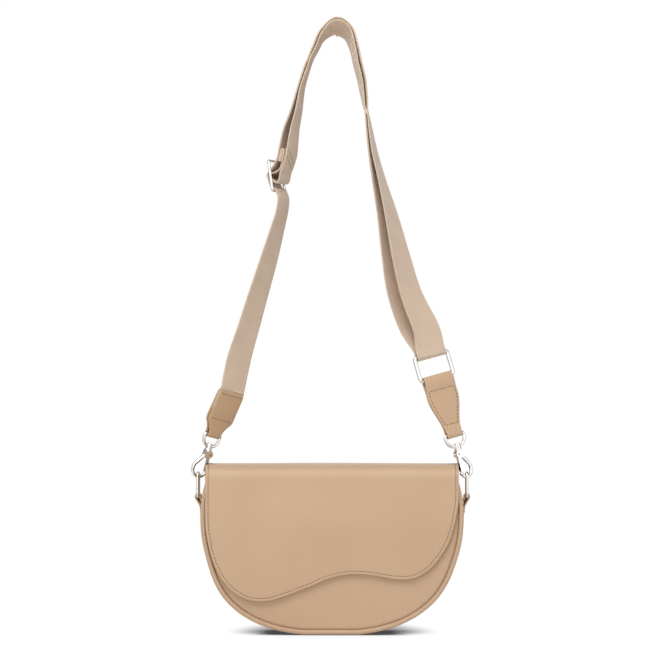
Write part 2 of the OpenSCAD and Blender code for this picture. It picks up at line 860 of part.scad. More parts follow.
// Webbing: one band that is sewn round the slider's middle bar, runs over the crown and
// round the rectangular ring, comes back over the crown, and passes the slider to the left tab

crown_x = 3.4;
crown_z = hook_z + strap_rise;
crown = [crown_x, 0, crown_z];
left_tab_top = left_eye + left_tab_l * left_tab_up;
slider_angle = 18;
slider_x_share = 0.43;
slider_z_share = 0.588;
slider_mid = [
    left_tab_top[0] + slider_x_share * (crown_x - left_tab_top[0]), 0,
    left_tab_top[2] + slider_z_share * (crown_z - left_tab_top[2]),
];

// The band's width direction: its front edge, turned in plan and raised
function front_edge(turn, rise) =
    [-sin(turn) * cos(rise), -cos(turn) * cos(rise), sin(rise)];

// Rows: shares of the way from the foot to the crown in X, Y and Z, the turn and the rise
// of the front edge in degrees, and the inner layer's place beside the outer one, in X, Y
// and Z, as shares of the band's width
right_leg_shares = [
    [0.046, 0.08, 0.078, 57, 0, -0.400, 0.280, 0],
    [0.204, 0.25, 0.184, 43, 0, -0.390, 0.280, 0],
    [0.313, 0.45, 0.300, 34, 0, -0.310, 0.230, 0],
    [0.407, 0.65, 0.416, 24, 0, -0.240, 0.120, 0],
    [0.513, 0.85, 0.531, 13, 0, -0.185, 0.050, 0],
    [0.593, 0.95, 0.621, 9, 0, -0.105, 0.020, 0],
    [0.655, 1.00, 0.724, 2, 0, -0.075, 0.000, 0],
    [0.677, 1.00, 0.772, -4, 0, -0.095, 0.000, 0],
    [0.706, 1.00, 0.833, -8, 0, -0.130, 0.000, 0],
    [0.753, 1.00, 0.887, -9, 0, -0.140, 0.000, -0.010],
    [0.790, 1.00, 0.932, -9, 6, -0.110, 0.000, -0.030],
    [0.859, 1.00, 0.979, -9, 18, -0.075, -0.010, -0.070],
    [1.000, 1.00, 1.000, -8, 27, 0.000, -0.045, -0.100],
];
left_leg_shares = [
    [0.756, 1.00, 0.940, 0, 14, 0.082, -0.012, -0.078],
    [0.647, 1.00, 0.850, 6, 4, 0.080, 0.000, -0.030],
    [0.503, 1.00, 0.711, 8, 0, 0.094, 0.000, 0],
    [0.410, 1.00, 0.592, 9, 0, 0.072, 0.000, 0],
    [0.302, 1.00, 0.433, 12, 0, 0.092, 0.000, 0],
    [0.196, 1.00, 0.301, 17, 0, 0.168, 0.000, 0],
    [0.127, 1.00, 0.168, 18, 0, 0.231, 0.000, 0],
];
lower_leg_shares = [
    [1.110, 1.00, 0.828, 20, 0],
    [1.020, 0.97, 0.757, 23, 0],
    [0.832, 0.86, 0.618, 30, 0],
    [0.562, 0.62, 0.431, 36, 0],
    [0.363, 0.42, 0.291, 40, 0],
    [0.161, 0.18, 0.152, 45, 0],
];

// Each station is [x, y, z, width direction]
function station(p, w) = concat(p, w);
function leg(rows, foot, head) = [
    for (r = rows) station(
        [for (i = [0 : 2]) foot[i] + r[i] * (head[i] - foot[i])], front_edge(r[3], r[4])
    )
];
function beside(stations, rows) = [
    for (i = [0 : len(rows) - 1]) [
        for (k = [0 : 5]) stations[i][k] + (k < 3 ? strap_w * rows[i][5 + k] : 0)
    ]
];

// Round the rectangular ring's upper bar
wrap_r = link_bore + strap_t / 2;
link_face = cross(right_bar, right_tab_up) * (cross(right_bar, right_tab_up)[1] < 0 ? 1 : -1);
link_edge = right_bar * (right_bar[0] < 0 ? 1 : -1);
function wrap(a, rise = 0) = station(
    link_high + wrap_r * cos(a) * link_face + (wrap_r * sin(a) + rise) * right_tab_up, link_edge
);
wrap_rise = 7;
wrap_split_angle = 2 * part_gap / wrap_r * 180 / PI;

// Round the slider: places across (u) and up (v) from the middle bar
slider_edge = front_edge(slider_angle, 0);
slider_side = [cos(slider_angle), -sin(slider_angle), 0];
slider_tilt_angle = 8;
function at_slider(p) =
    station(slider_mid + p[0] * slider_side + [0, 0, p[1]], slider_edge);
sewn_r = slider_wire / 2 + loop_gap + strap_t / 2;
over_r = sewn_r + strap_t + loop_gap;
over_end_angle = 215;
over_split_angle = part_gap / over_r * 180 / PI;
slider_top = [-slider_pitch * sin(slider_tilt_angle), slider_pitch * cos(slider_tilt_angle)];
function circle_at(r, a) = [r * cos(a), r * sin(a)];

inner_at_slider_shares = [
    [0.98, 1.02], [0.86, 0.66], [0.66, 0.2], [0.54, -0.2], [0.42, -0.42], [0.26, -0.42],
];
sewn_end_shares = [[0.3, 0.36], [0.55, 0.6], [0.72, 0.96], [0.83, 1.3], [0.9, 1.72]];

outer_stations = concat(
    [for (a = [-90 : 22.5 : 0]) wrap(max(a, wrap_split_angle - 90))],
    [wrap(0, wrap_rise)],
    leg(right_leg_shares, link_high, crown),
    leg(left_leg_shares, slider_mid, crown),
    [
        at_slider(slider_top + [sewn_r, 0]),
        at_slider(circle_at(over_r, 140)),
        at_slider(circle_at(over_r, 180)),
        at_slider(circle_at(over_r, over_end_angle - over_split_angle)),
    ]
);
lower_stations = concat(
    [
        at_slider(circle_at(over_r, over_end_angle + over_split_angle)),
        at_slider(-slider_top + circle_at(over_r, 120)),
        at_slider(-slider_top + circle_at(sewn_r, 50)),
        at_slider(-slider_top + circle_at(sewn_r, 0)),
        at_slider(-slider_top + [2 * sewn_r, -slider_pitch / 2]),
    ],
    leg(lower_leg_shares, left_tab_top, slider_mid),
    [
        for (d = [4 * seat_gap, seat_gap, seat_gap - webbing_seat])
            station(left_tab_top + d * left_tab_up, -left_bar),
    ]
);
inner_stations = concat(
    [for (i = [len(sewn_end_shares) - 1 : -1 : 0]) at_slider(slider_pitch * sewn_end_shares[i])],
    [for (a = [125 : 25 : 225]) at_slider(circle_at(sewn_r, a))],
    [
        for (i = [len(inner_at_slider_shares) - 1 : -1 : 0])
            at_slider(slider_pitch * inner_at_slider_shares[i])
    ],
    [
        for (i = [len(left_leg_shares) - 1 : -1 : 0])
            beside(leg(left_leg_shares, slider_mid, crown), left_leg_shares)[i]
    ],
    [
        for (i = [len(right_leg_shares) - 1 : -1 : 0])
            beside(leg(right_leg_shares, link_high, crown), right_leg_shares)[i]
    ],
    [wrap(180, wrap_rise)],
    [for (a = [180 : 22.5 : 270]) wrap(min(a, 270 - wrap_split_angle))]
);

// A band through the stations, in steps between one station and the next
module band(stations, steps) {
    line = [
        for (i = [0 : len(stations) - 2], k = [0 : steps - 1]) catmull(stations, i + k / steps),
        stations[len(stations) - 1],
    ];
    last = len(line) - 1;
    function place(i) = [line[i][0], line[i][1], line[i][2]];
    sections = [
        for (i = [0 : last])
            let (
                t = unit(
                    (i < last ? unit(place(i + 1) - place(i)) : [0, 0, 0])
                    + (i > 0 ? unit(place(i) - place(i - 1)) : [0, 0, 0])
                ),
                w = square_to([line[i][3], line[i][4], line[i][5]], t),
                n = cross(t, w)
            ) [
                for (c = [[1, 1], [-1, 1], [-1, -1], [1, -1]])
                    place(i) + c[0] * strap_w / 2 * w + c[1] * strap_t / 2 * n
            ]
    ];
    points = [for (s = sections) each s];
    function at(i, k) = 4 * i + k % 4;
    faces = concat(
        [
            for (i = [0 : last - 1], k = [0 : 3]) each [
                [at(i, k), at(i + 1, k), at(i + 1, k + 1)],
                [at(i, k), at(i + 1, k + 1), at(i, k + 1)],
            ]
        ],
        [[for (k = [0 : 3]) at(0, k)], [for (k = [3 : -1 : 0]) at(last, k)]]
    );
    polyhedron(points, faces, convexity = 10);
}

module webbing_outer() {
    color(WEBBING) band(outer_stations, 3);
}

module webbing_inner() {
    color(WEBBING) band(inner_stations, 3);
}

module webbing_lower() {
    color(WEBBING) band(lower_stations, 3);
}

module slider() {
    up = unit(slider_top[0] * slider_side + [0, 0, slider_top[1]]);
    w = link_w + slider_wire;
    color(NICKEL) along(slider_mid, slider_edge, up) {
        translate([0, 0, -slider_pitch])
            wire_loop(w, 2 * slider_pitch, slider_wire, slider_wire, slider_wire);
        round_bar(0, slider_wire, w);
    }
}

front_panel();
back_panel();
gusset();
front_rim();
back_rim();
lining();
flap_hem();
flap_top();
flap_front();
flap_facing();
snap_socket();
snap_stud();
left_side_tab();
right_side_tab();
left_side_ring();
right_side_ring();
left_hook_eye();
left_hook_frame();
left_gate();
left_gate_pin();
left_gate_spring();
right_hook_eye();
right_hook_frame();
right_gate();
right_gate_pin();
right_gate_spring();
left_strap_tab();
right_strap_tab();
rect_ring();
slider();
webbing_lower();
webbing_inner();
webbing_outer();
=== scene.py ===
# %% [markdown]
# A saddle handbag, dressed in Blender.
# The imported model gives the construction: where every ring, hook, bar and hinge is. This lesson
# adds what the eye sees: crowned leather panels, a rolled seam, a stitched flap, woven webbing
# and polished nickel. Lengths are metres, Z is up and the bag's front looks towards -Y.

# %% Load the frame
import json
import math

import bmesh
import bpy
import numpy as np
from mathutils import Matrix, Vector


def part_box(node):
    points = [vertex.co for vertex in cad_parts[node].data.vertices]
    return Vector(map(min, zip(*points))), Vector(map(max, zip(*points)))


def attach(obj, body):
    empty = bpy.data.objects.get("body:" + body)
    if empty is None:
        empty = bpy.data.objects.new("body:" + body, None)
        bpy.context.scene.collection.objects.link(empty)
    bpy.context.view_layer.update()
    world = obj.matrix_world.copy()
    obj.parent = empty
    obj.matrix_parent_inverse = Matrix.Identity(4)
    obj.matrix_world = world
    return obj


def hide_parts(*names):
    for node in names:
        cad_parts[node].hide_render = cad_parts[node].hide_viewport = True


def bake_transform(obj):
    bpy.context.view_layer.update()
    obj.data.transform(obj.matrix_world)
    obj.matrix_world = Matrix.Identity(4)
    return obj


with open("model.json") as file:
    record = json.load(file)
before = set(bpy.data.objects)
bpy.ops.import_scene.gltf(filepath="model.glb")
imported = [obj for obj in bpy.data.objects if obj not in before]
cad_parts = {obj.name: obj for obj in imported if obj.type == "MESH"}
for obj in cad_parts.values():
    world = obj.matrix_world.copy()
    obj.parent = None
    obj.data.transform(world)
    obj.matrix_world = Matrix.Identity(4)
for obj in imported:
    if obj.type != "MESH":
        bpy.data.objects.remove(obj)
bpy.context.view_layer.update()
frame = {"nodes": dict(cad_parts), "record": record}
MM = 0.001
record = frame["record"]
joints = {j["name"]: j for j in record["behaviour"]["joints"]}

# %% [markdown]
# A few helpers carry the whole script. Colours are written as the hex values that a maker would
# read off a swatch, which are sRGB, while shaders want linear light. And every node is added by
# one function that sets its options, its inputs and, on a ramp, its two colour stops, so a
# material reads from top to bottom.

# %% Colour and node helpers
def linear(hex_colour):
    parts = [int(hex_colour[i : i + 2], 16) / 255 for i in (1, 3, 5)]
    return [c / 12.92 if c <= 0.04045 else ((c + 0.055) / 1.055) ** 2.4 for c in parts] + [1.0]


def add(tree, kind, inputs=None, stops=(), **options):
    node = tree.nodes.new("ShaderNode" + kind)
    for name, value in options.items():
        setattr(node, name, value)
    for name, value in (inputs or {}).items():
        if isinstance(value, bpy.types.NodeSocket):
            tree.links.new(value, node.inputs[name])
        else:
            node.inputs[name].default_value = value
    for k, (position, colour) in enumerate(stops):
        node.color_ramp.elements[k].position = position
        node.color_ramp.elements[k].color = linear(colour)
    return node


def new_material(name):
    material = bpy.data.materials.new(name)
    material.use_nodes = True
    material.node_tree.nodes.clear()
    return material, material.node_tree


def close(tree, shader):
    add(tree, "OutputMaterial", {"Surface": shader.outputs[0]})


print("mid grey in linear light", round(linear("#808080")[0], 3))

# %% [markdown]
# The leather is a smooth bovine split with a coated, embossed face. Such a face has a fine
# pebble, about 1 mm across on the real skin and drawn at 1.5 mm here so that it shows, and a
# satin gloss: the highlight is soft and wide. Large, faint clouds of lighter and darker tone
# keep it from looking like plastic. The pebble is made with a Voronoi pattern in object space,
# so that it has the same size on every piece, whatever its shape. Along stitches, in seams and
# in folds the colour is drawn darker: partly the real darkening of leather creased with a hot
# iron, partly painted shade in grooves, seam valleys and folds. A piece says where, from 0 to 1,
# in a point attribute that the material reads.

# %% Coated leather
PEBBLE = 1.5 * MM
CLOUD = 70 * MM


def coated_leather(name, light, dark, burnish_and_shade_colour, roughness=0.46, pebble_depth=0.05 * MM):
    material, tree = new_material(name)
    place = add(tree, "TexCoord").outputs["Object"]
    clouds = add(tree, "TexNoise", {"Vector": place, "Scale": 1 / CLOUD, "Detail": 3.0})
    cells = add(tree, "TexVoronoi", {"Vector": place, "Scale": 1 / PEBBLE, "Randomness": 0.9})
    fine = add(tree, "TexNoise", {"Vector": place, "Scale": 4 / PEBBLE, "Detail": 2.0})
    tone = add(tree, "ValToRGB", {"Fac": clouds.outputs["Fac"]}, stops=((0.3, dark), (0.7, light)))
    # Along seams, stitches and folds the colour is drawn darker: real creasing and painted shade
    crease = add(tree, "Attribute", attribute_name="crease")
    tone_burnish_and_shade = add(tree, "Mix", {0: crease.outputs["Fac"], 6: tone.outputs["Color"], 7: linear(burnish_and_shade_colour)},
               data_type="RGBA")
    height = add(tree, "Math", {0: cells.outputs["Distance"], 1: fine.outputs["Fac"]}, operation="ADD")
    bump = add(tree, "Bump", {"Height": height.outputs[0], "Distance": pebble_depth, "Strength": 0.6})
    gloss = add(tree, "MapRange", {"Value": fine.outputs["Fac"], "To Min": roughness - 0.05,
                                   "To Max": roughness + 0.07})
    close(tree, add(tree, "BsdfPrincipled", {
        "Base Color": tone_burnish_and_shade.outputs[2], "Roughness": gloss.outputs[0],
        "Normal": bump.outputs["Normal"], "IOR": 1.45, "Specular IOR Level": 0.4,
    }))
    return material


LEATHER = coated_leather("coated_split_leather", "#C8A98B", "#C3A385", "#7E583C")
# A slightly darker copy of the leather, for the left strap tab: painted shade, as the tab leans from the
# light
DARK_LEATHER = coated_leather("coated_split_leather_worn", "#C6A685", "#C09F7E", "#74502F")
FACING = coated_leather("skived_facing_leather", "#C3A587", "#BC9D7F", "#7E583C", roughness=0.6)
# Dark brown for the deep inside of the side tabs' loops: painted shade
PAINTED_SHADE_LEATHER = coated_leather("raw_leather_edge", "#5E4330", "#4C3525", "#3A281B", roughness=0.8)
print("leathers", [m.name for m in (LEATHER, DARK_LEATHER, FACING, PAINTED_SHADE_LEATHER)])

# %% [markdown]
# The strap is cotton webbing: a plain weave of thick threads, matt, with a little fuzz that
# sheen imitates. Each band carries its own coordinates, in metres across and along it, in an
# attribute called band, so that the weave follows the strap round every bend. Threads of such
# webbing lie about 0.9 mm apart; here they are 1.1 to 1.3 mm apart, so that a pixel can hold one.
# The twill of the lining is finer, and flat enough for the same pattern.

# %% Cotton webbing
THREAD_ACROSS = 1.3 * MM
THREAD_ALONG = 1.1 * MM


def woven(name, light, dark, pitch=(THREAD_ACROSS, THREAD_ALONG), depth=0.06 * MM):
    material, tree = new_material(name)
    band = add(tree, "Attribute", attribute_name="band")
    split = add(tree, "SeparateXYZ", {"Vector": band.outputs["Vector"]})
    waves = []
    for axis in (0, 1):
        angle = add(tree, "Math", {0: split.outputs[axis], 1: math.pi / pitch[axis]},
                    operation="MULTIPLY")
        waves.append(add(tree, "Math", {0: angle.outputs[0]}, operation="SINE").outputs[0])
    weave = add(tree, "Math", {0: waves[0], 1: waves[1]}, operation="MULTIPLY")
    slub = add(tree, "TexNoise", {"Vector": band.outputs["Vector"], "Scale": 60.0, "Detail": 3.0})
    fuzz = add(tree, "TexNoise", {"Vector": band.outputs["Vector"], "Scale": 2500.0, "Detail": 2.0})
    blend = add(tree, "Math", {0: weave.outputs[0], 1: 0.12, 2: slub.outputs["Fac"]},
                operation="MULTIPLY_ADD")
    tone = add(tree, "ValToRGB", {"Fac": blend.outputs[0]}, stops=((0.2, dark), (0.75, light)))
    height = add(tree, "Math", {0: fuzz.outputs["Fac"], 1: 0.35, 2: weave.outputs[0]},
                 operation="MULTIPLY_ADD")
    bump = add(tree, "Bump", {"Height": height.outputs[0], "Distance": depth, "Strength": 0.7})
    close(tree, add(tree, "BsdfPrincipled", {
        "Base Color": tone.outputs["Color"], "Roughness": 0.88, "Normal": bump.outputs["Normal"],
        "Specular IOR Level": 0.25, "Sheen Weight": 0.25, "Sheen Roughness": 0.5,
    }))
    return material


WEBBING = woven("cotton_webbing", "#D2BBA5", "#C9B29B")
LINING = woven("twill_lining", "#BFA588", "#AC9174", pitch=(0.8 * MM, 0.8 * MM), depth=0.05 * MM)
print("cloths", WEBBING.name, LINING.name)

# %% [markdown]
# The hardware is zinc, die-cast, barrel-polished and nickel plated. Nickel is a slightly warm
# white metal with a hard mirror gloss, broken only by the faint waves that polishing leaves.
# The springs and the gate pins are plain drawn steel, greyer and less glossy. The thread is
# bonded polyester in a darker brown, and its twist is drawn as a fine slanted wave.

# %% Metals and thread
def metal(name, colour, roughness, wave=0.012 * MM):
    material, tree = new_material(name)
    place = add(tree, "TexCoord").outputs["Object"]
    polish = add(tree, "TexNoise", {"Vector": place, "Scale": 450.0, "Detail": 2.0})
    gloss = add(tree, "MapRange", {"Value": polish.outputs["Fac"], "To Min": roughness * 0.7,
                                   "To Max": roughness * 1.5})
    bump = add(tree, "Bump", {"Height": polish.outputs["Fac"], "Distance": wave, "Strength": 0.5})
    close(tree, add(tree, "BsdfPrincipled", {
        "Base Color": linear(colour), "Metallic": 1.0, "Roughness": gloss.outputs[0],
        "Normal": bump.outputs["Normal"],
    }))
    return material


def polyester_thread(name, light, dark, twist=0.5 * MM):
    material, tree = new_material(name)
    place = add(tree, "TexCoord").outputs["Object"]
    strands = add(tree, "TexWave", {"Vector": place, "Scale": 1 / (6 * twist), "Distortion": 2.0},
                  bands_direction="DIAGONAL")
    tone = add(tree, "ValToRGB", {"Fac": strands.outputs["Fac"]}, stops=((0, dark), (1, light)))
    close(tree, add(tree, "BsdfPrincipled", {
        "Base Color": tone.outputs["Color"], "Roughness": 0.6, "Specular IOR Level": 0.4}))
    return material


NICKEL = metal("polished_nickel_plate", "#DEDCD8", 0.14)
STEEL = metal("drawn_spring_steel", "#A9A8A6", 0.32)
THREAD = polyester_thread("bonded_polyester_thread", "#7E5A3A", "#5E4229")
print("metals and thread", NICKEL.name, STEEL.name, THREAD.name)

# %% [markdown]
# The stage is a white sweep, as in a studio. The camera, glossy and transmitted rays see white,
# while the light that falls on the bag stays at a plain level. A brighter sky would give the same
# background, but it would bleach the leather, so what is seen and what lights are two shaders.

# %% White sky
SKY_LEVEL = 0.42


def seen_rays(tree):
    path = add(tree, "LightPath")
    first = add(tree, "Math", {0: path.outputs["Is Camera Ray"], 1: path.outputs["Is Glossy Ray"]},
                operation="MAXIMUM")
    both = add(tree, "Math", {0: first.outputs[0], 1: path.outputs["Is Transmission Ray"]},
               operation="MAXIMUM")
    return both.outputs[0]


world = bpy.data.worlds.new("white_sky")
bpy.context.scene.world = world
world.use_nodes = True
tree = world.node_tree
tree.nodes.clear()
sky_light = add(tree, "Background", {"Color": linear("#FFFFFF"), "Strength": SKY_LEVEL})
sky_seen = add(tree, "Background", {"Color": linear("#FFFFFF"), "Strength": 1.0})
sky = add(tree, "MixShader", {0: seen_rays(tree), 1: sky_light.outputs[0], 2: sky_seen.outputs[0]})
add(tree, "OutputWorld", {"Surface": sky.outputs[0]})
print("sky lights at", SKY_LEVEL)

# %% [markdown]
# The floor shows a contact shadow only, as under an even light from all sides. A lamp would throw
# it to one side, so it is painted by ambient occlusion instead: how much of the sky each point
# can see, over a long reach for the soft shade and a short one for the line of contact.

# %% Floor and contact shadow
SHADOW_REACH, SHADOW_HALF, CONTACT_REACH = 140 * MM, (118 * MM, 180 * MM), 16 * MM
FLOOR_SIZE, FLOOR_DROP = 12, 0.2 * MM


def flat_card(name, size, place, material, turn=(0, 0, 0)):
    a, b = np.array(size) / 2
    mesh = bpy.data.meshes.new(name)
    mesh.from_pydata([(-a, -b, 0), (a, -b, 0), (a, b, 0), (-a, b, 0)], [], [(0, 1, 2, 3)])
    mesh.materials.append(material)
    card = bpy.data.objects.new(name, mesh)
    card.location = place
    card.rotation_euler = [math.radians(a) for a in turn]
    bpy.context.scene.collection.objects.link(card)
    return card


white, tree = new_material("white_sweep")
paint = add(tree, "BsdfDiffuse", {"Color": linear("#F4F4F4")})
light_from = add(tree, "CombineXYZ", {"X": 0.0, "Y": -0.75, "Z": 0.66})
open_sky = add(tree, "AmbientOcclusion", {"Distance": SHADOW_REACH, "Normal": light_from.outputs[0]},
               samples=16)
spot = add(tree, "Mapping", {"Vector": add(tree, "TexCoord").outputs["Object"],
                             "Scale": (1 / SHADOW_HALF[0], 1 / SHADOW_HALF[1], 1)})
blob = add(tree, "TexGradient", {"Vector": spot.outputs[0]}, gradient_type="SPHERICAL")
fade = add(tree, "MapRange", {"Value": blob.outputs["Fac"], "From Min": 0.0, "From Max": 0.45},
           interpolation_type="SMOOTHSTEP")
hidden = add(tree, "Math", {0: 1.0, 1: open_sky.outputs["AO"]}, operation="SUBTRACT")
near = add(tree, "AmbientOcclusion", {"Distance": CONTACT_REACH}, samples=16)
touching = add(tree, "Math", {0: 1.0, 1: near.outputs["AO"]}, operation="SUBTRACT")
both = add(tree, "Math", {0: hidden.outputs[0], 1: touching.outputs[0]}, operation="MAXIMUM")
dark = add(tree, "Math", {0: both.outputs[0], 1: fade.outputs[0]}, operation="MULTIPLY")
shadow = add(tree, "ValToRGB", {"Fac": dark.outputs[0]}, stops=((0.05, "#FFFFFF"), (0.75, "#4A4848")))
seen = add(tree, "Emission", {"Color": shadow.outputs["Color"], "Strength": 1.0})
close(tree, add(tree, "MixShader", {0: seen_rays(tree), 1: paint.outputs[0], 2: seen.outputs[0]}))
flat_card("floor", (FLOOR_SIZE, FLOOR_SIZE), (0, 0, -FLOOR_DROP), white)
print("floor", FLOOR_SIZE, "m wide, shade reaches", SHADOW_REACH)

# %% [markdown]
# Polished metal shows only what stands round it, and on a white stage that is nothing. Dark cards
# at the sides and overhead, seen by reflections alone, give it its lines. Lamps could not do it:
# they would only add more white.

# %% Dark cards
black, tree = new_material("black_card")
close(tree, add(tree, "BsdfDiffuse", {"Color": linear("#2A2A2A")}))
cards = [
    flat_card("card_left", (1.3, 1.2), (-0.55, 0.8, 0.3), black, (90, 0, 90)),
    flat_card("card_right", (1.3, 1.2), (0.55, 0.8, 0.3), black, (90, 0, 90)),
    flat_card("card_above", (1.4, 0.5), (0, 0.45, 1.05), black),
]
for card in cards:
    card.visible_camera = card.visible_diffuse = card.visible_shadow = False
print(len(cards), "dark cards")

# %% [markdown]
# Four round soft lamps light the bag: one above the front shapes the folds, a wide one in front
# fills them, one at the right picks out the gusset, and one behind lights the back. Wide disks
# give soft edges, where a small lamp would draw the strap on the flap as a hard line.

# %% Lamps
CENTRE = np.array([-7.3, 0, 304.1]) * MM


def soft_lamp(name, place, size, power):
    light = bpy.data.lights.new(name, "AREA")
    light.shape, light.size, light.energy = "DISK", size, power
    lamp = bpy.data.objects.new(name, light)
    lamp.location = place
    away = (np.array(place) - CENTRE).tolist()
    lamp.rotation_euler = Vector(away).to_track_quat("Z", "Y").to_euler()
    bpy.context.scene.collection.objects.link(lamp)
    print(name, power, "W")


soft_lamp("key_above", (-0.1, -0.9, 1.45), 0.8, 12.5)
soft_lamp("fill_front", (-0.3, -2.2, 0.6), 1.4, 8.6)
soft_lamp("side_right", (2.0, -0.35, 0.5), 1.2, 4)
soft_lamp("fill_back", (-1.6, 1.6, 0.4), 1.4, 14)

# %% [markdown]
# The camera stands level with the middle of the whole object, so that the bag's front looks
# flat and the strap's crown shows its underside. A long lens keeps the near rim from swelling.
# Its distance follows from the height of the view and the lens, and one degree of turn brings
# the gusset's right side into view.

# %% Camera
VIEW_HEIGHT = 643.3 * MM
LENS, SENSOR = 200.0, 36.0
AZIMUTH = math.radians(1.0)
distance = VIEW_HEIGHT / 2 / (SENSOR / 2 / LENS)
camera_data = bpy.data.cameras.new("camera")
camera_data.lens, camera_data.sensor_width = LENS, SENSOR
camera = bpy.data.objects.new("camera", camera_data)
camera.location = CENTRE + distance * np.array([math.sin(AZIMUTH), -math.cos(AZIMUTH), 0])
camera.rotation_euler = (math.radians(90), 0, AZIMUTH)
bpy.context.scene.collection.objects.link(camera)
bpy.context.scene.camera = camera
bpy.context.scene.view_settings.view_transform = "Standard"
print("camera distance", round(distance, 3))

# %% [markdown]
# Every soft piece starts as a grid of points on its skin. One function turns a grid into faces,
# one closes a tube's ends, and another makes the mesh, welds points that meet, and gives it real
# thickness with the Solidify modifier, which is applied at once so that later steps see the final
# mesh. Edges that turn by more than 48 degrees stay sharp; everything else is shaded smooth.

# %% From grids to pieces
def grid_faces(rows, cols, start=0, wrap_rows=False, wrap_cols=False):
    faces = []
    for r in range(rows if wrap_rows else rows - 1):
        for c in range(cols if wrap_cols else cols - 1):
            near, far = start + r * cols, start + (r + 1) % rows * cols
            faces.append((near + c, near + (c + 1) % cols, far + (c + 1) % cols, far + c))
    return faces


def end_faces(rows, cols, start=0):
    """The two faces that close a tube at its first and its last ring."""
    last = start + (rows - 1) * cols
    return [list(reversed(range(start, start + cols))), list(range(last, last + cols))]


def make_piece(name, verts, faces, material, band=None, crease=None, weld=1e-6, thickness=0, sharp=48):
    mesh = bpy.data.meshes.new(name)
    mesh.from_pydata([tuple(v) for v in verts], [], faces)
    if band is not None:
        attribute = mesh.attributes.new("band", "FLOAT_VECTOR", "POINT")
        attribute.data.foreach_set("vector", np.array(band, dtype=np.float32).ravel())
    if crease is not None:
        attribute = mesh.attributes.new("crease", "FLOAT", "POINT")
        attribute.data.foreach_set("value", np.array(crease, dtype=np.float32).ravel())
    work = bmesh.new()
    work.from_mesh(mesh)
    bmesh.ops.remove_doubles(work, verts=work.verts, dist=weld)
    bmesh.ops.dissolve_degenerate(work, edges=work.edges, dist=weld)
    work.to_mesh(mesh)
    work.free()
    mesh.materials.append(material)
    piece = bpy.data.objects.new(name, mesh)
    bpy.context.scene.collection.objects.link(piece)
    if thickness:
        solid = piece.modifiers.new("thickness", "SOLIDIFY")
        solid.thickness, solid.offset, solid.use_even_offset = thickness, -1, True
        bpy.context.view_layer.update()
        shown = piece.evaluated_get(bpy.context.evaluated_depsgraph_get())
        thick_mesh = bpy.data.meshes.new_from_object(shown)
        piece.modifiers.clear()
        piece.data = thick_mesh
    piece.data.polygons.foreach_set("use_smooth", [True] * len(piece.data.polygons))
    piece.data.set_sharp_from_angle(angle=math.radians(sharp))
    return piece


print("a grid of 3 by 3 points has", len(grid_faces(3, 3)), "faces")

# %% [markdown]
# A sheet of leather is several grids on the skin's face, welded into one. The thickness goes to
# the wrong side of the leather. Each piece is then settled: it gets the body that it rides on,
# and the plain solids that it stands for are hidden.

# %% Sheets of leather
def leather_sheet(name, grids, thickness, material, flip=False, band=None):
    """Grids of points, each x, y, z and darkening (burnish and painted shade), welded where they meet,
    with a real thickness.
    """
    verts, faces, crease = [], [], []
    for grid in grids:
        faces += grid_faces(*grid.shape[:2], start=len(verts))
        verts += grid[..., :3].reshape(-1, 3).tolist()
        crease += grid[..., 3].ravel().tolist()
    if flip:
        faces = [tuple(reversed(f)) for f in faces]
    return make_piece(name, verts, faces, material, band=band, crease=crease, thickness=thickness)


def settle(piece, slot, body, *replaced):
    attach(piece, body)
    if replaced:
        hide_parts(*replaced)
    print(piece.name, len(piece.data.vertices), "points")


# %% [markdown]
# The body's outline is half a superellipse below the widest place and a soft curve above it. Such
# a formula stays smooth at any number of points, and a few sizes set it. Slack leather makes the
# line uneven: it hangs in a little below the widest place, and the base swings to the left.

# %% The body's outline
BODY_W, TOP_W, WIDEST_Z, MOUTH_Z, BASE_W = (v * MM for v in (259, 244.5, 118, 156, 54))
SQUARENESS = 2.5
SLACK, SLACK_Z, SLACK_REACH, LEAN = (v * MM for v in (1.9, 68, 26, 2.0))
LEAN_TOP = 0.8 * WIDEST_Z
OUTLINE_STEP, BASE_POINTS, SIDE_POINTS = 2 * MM, 400, 60
LEFT_AND_RIGHT, FRONT_AND_BACK = ((-1, "left"), (1, "right")), ((-1, "front"), (1, "back"))
start_angle = math.asin((BASE_W / BODY_W) ** (SQUARENESS / 2))
flat_share = math.cos(start_angle) ** (2 / SQUARENESS)


def smooth(s):
    s = np.clip(s, 0, 1)
    return s * s * (3 - 2 * s)


def slack(z):
    """The leather hangs in a little between the base and the widest place."""
    return SLACK * np.exp(-(((z - SLACK_Z) / SLACK_REACH) ** 2))


def half_width(z):
    z = np.asarray(z, dtype=float)
    high = BODY_W / 2 - (BODY_W - TOP_W) / 2 * ((z - WIDEST_Z) / (MOUTH_Z - WIDEST_Z)) ** 2
    low_share = np.clip(1 - np.clip(z, 0, None) / WIDEST_Z, 0, 1)
    low = BODY_W / 2 * (1 - (flat_share * low_share) ** SQUARENESS) ** (1 / SQUARENESS)
    return np.where(z >= WIDEST_Z, high, low) - slack(z)


def lengths_along(points):
    return np.concatenate([[0], np.cumsum(np.linalg.norm(np.diff(points, axis=0), axis=1))])


def resample(points):
    lengths = lengths_along(points)
    at = np.linspace(0, lengths[-1], int(round(lengths[-1] / OUTLINE_STEP)) + 1)
    return np.stack([np.interp(at, lengths, points[:, k]) for k in range(points.shape[1])], axis=1)


def unit_rows(vectors):
    return vectors / np.maximum(np.linalg.norm(vectors, axis=-1, keepdims=True), 1e-12)


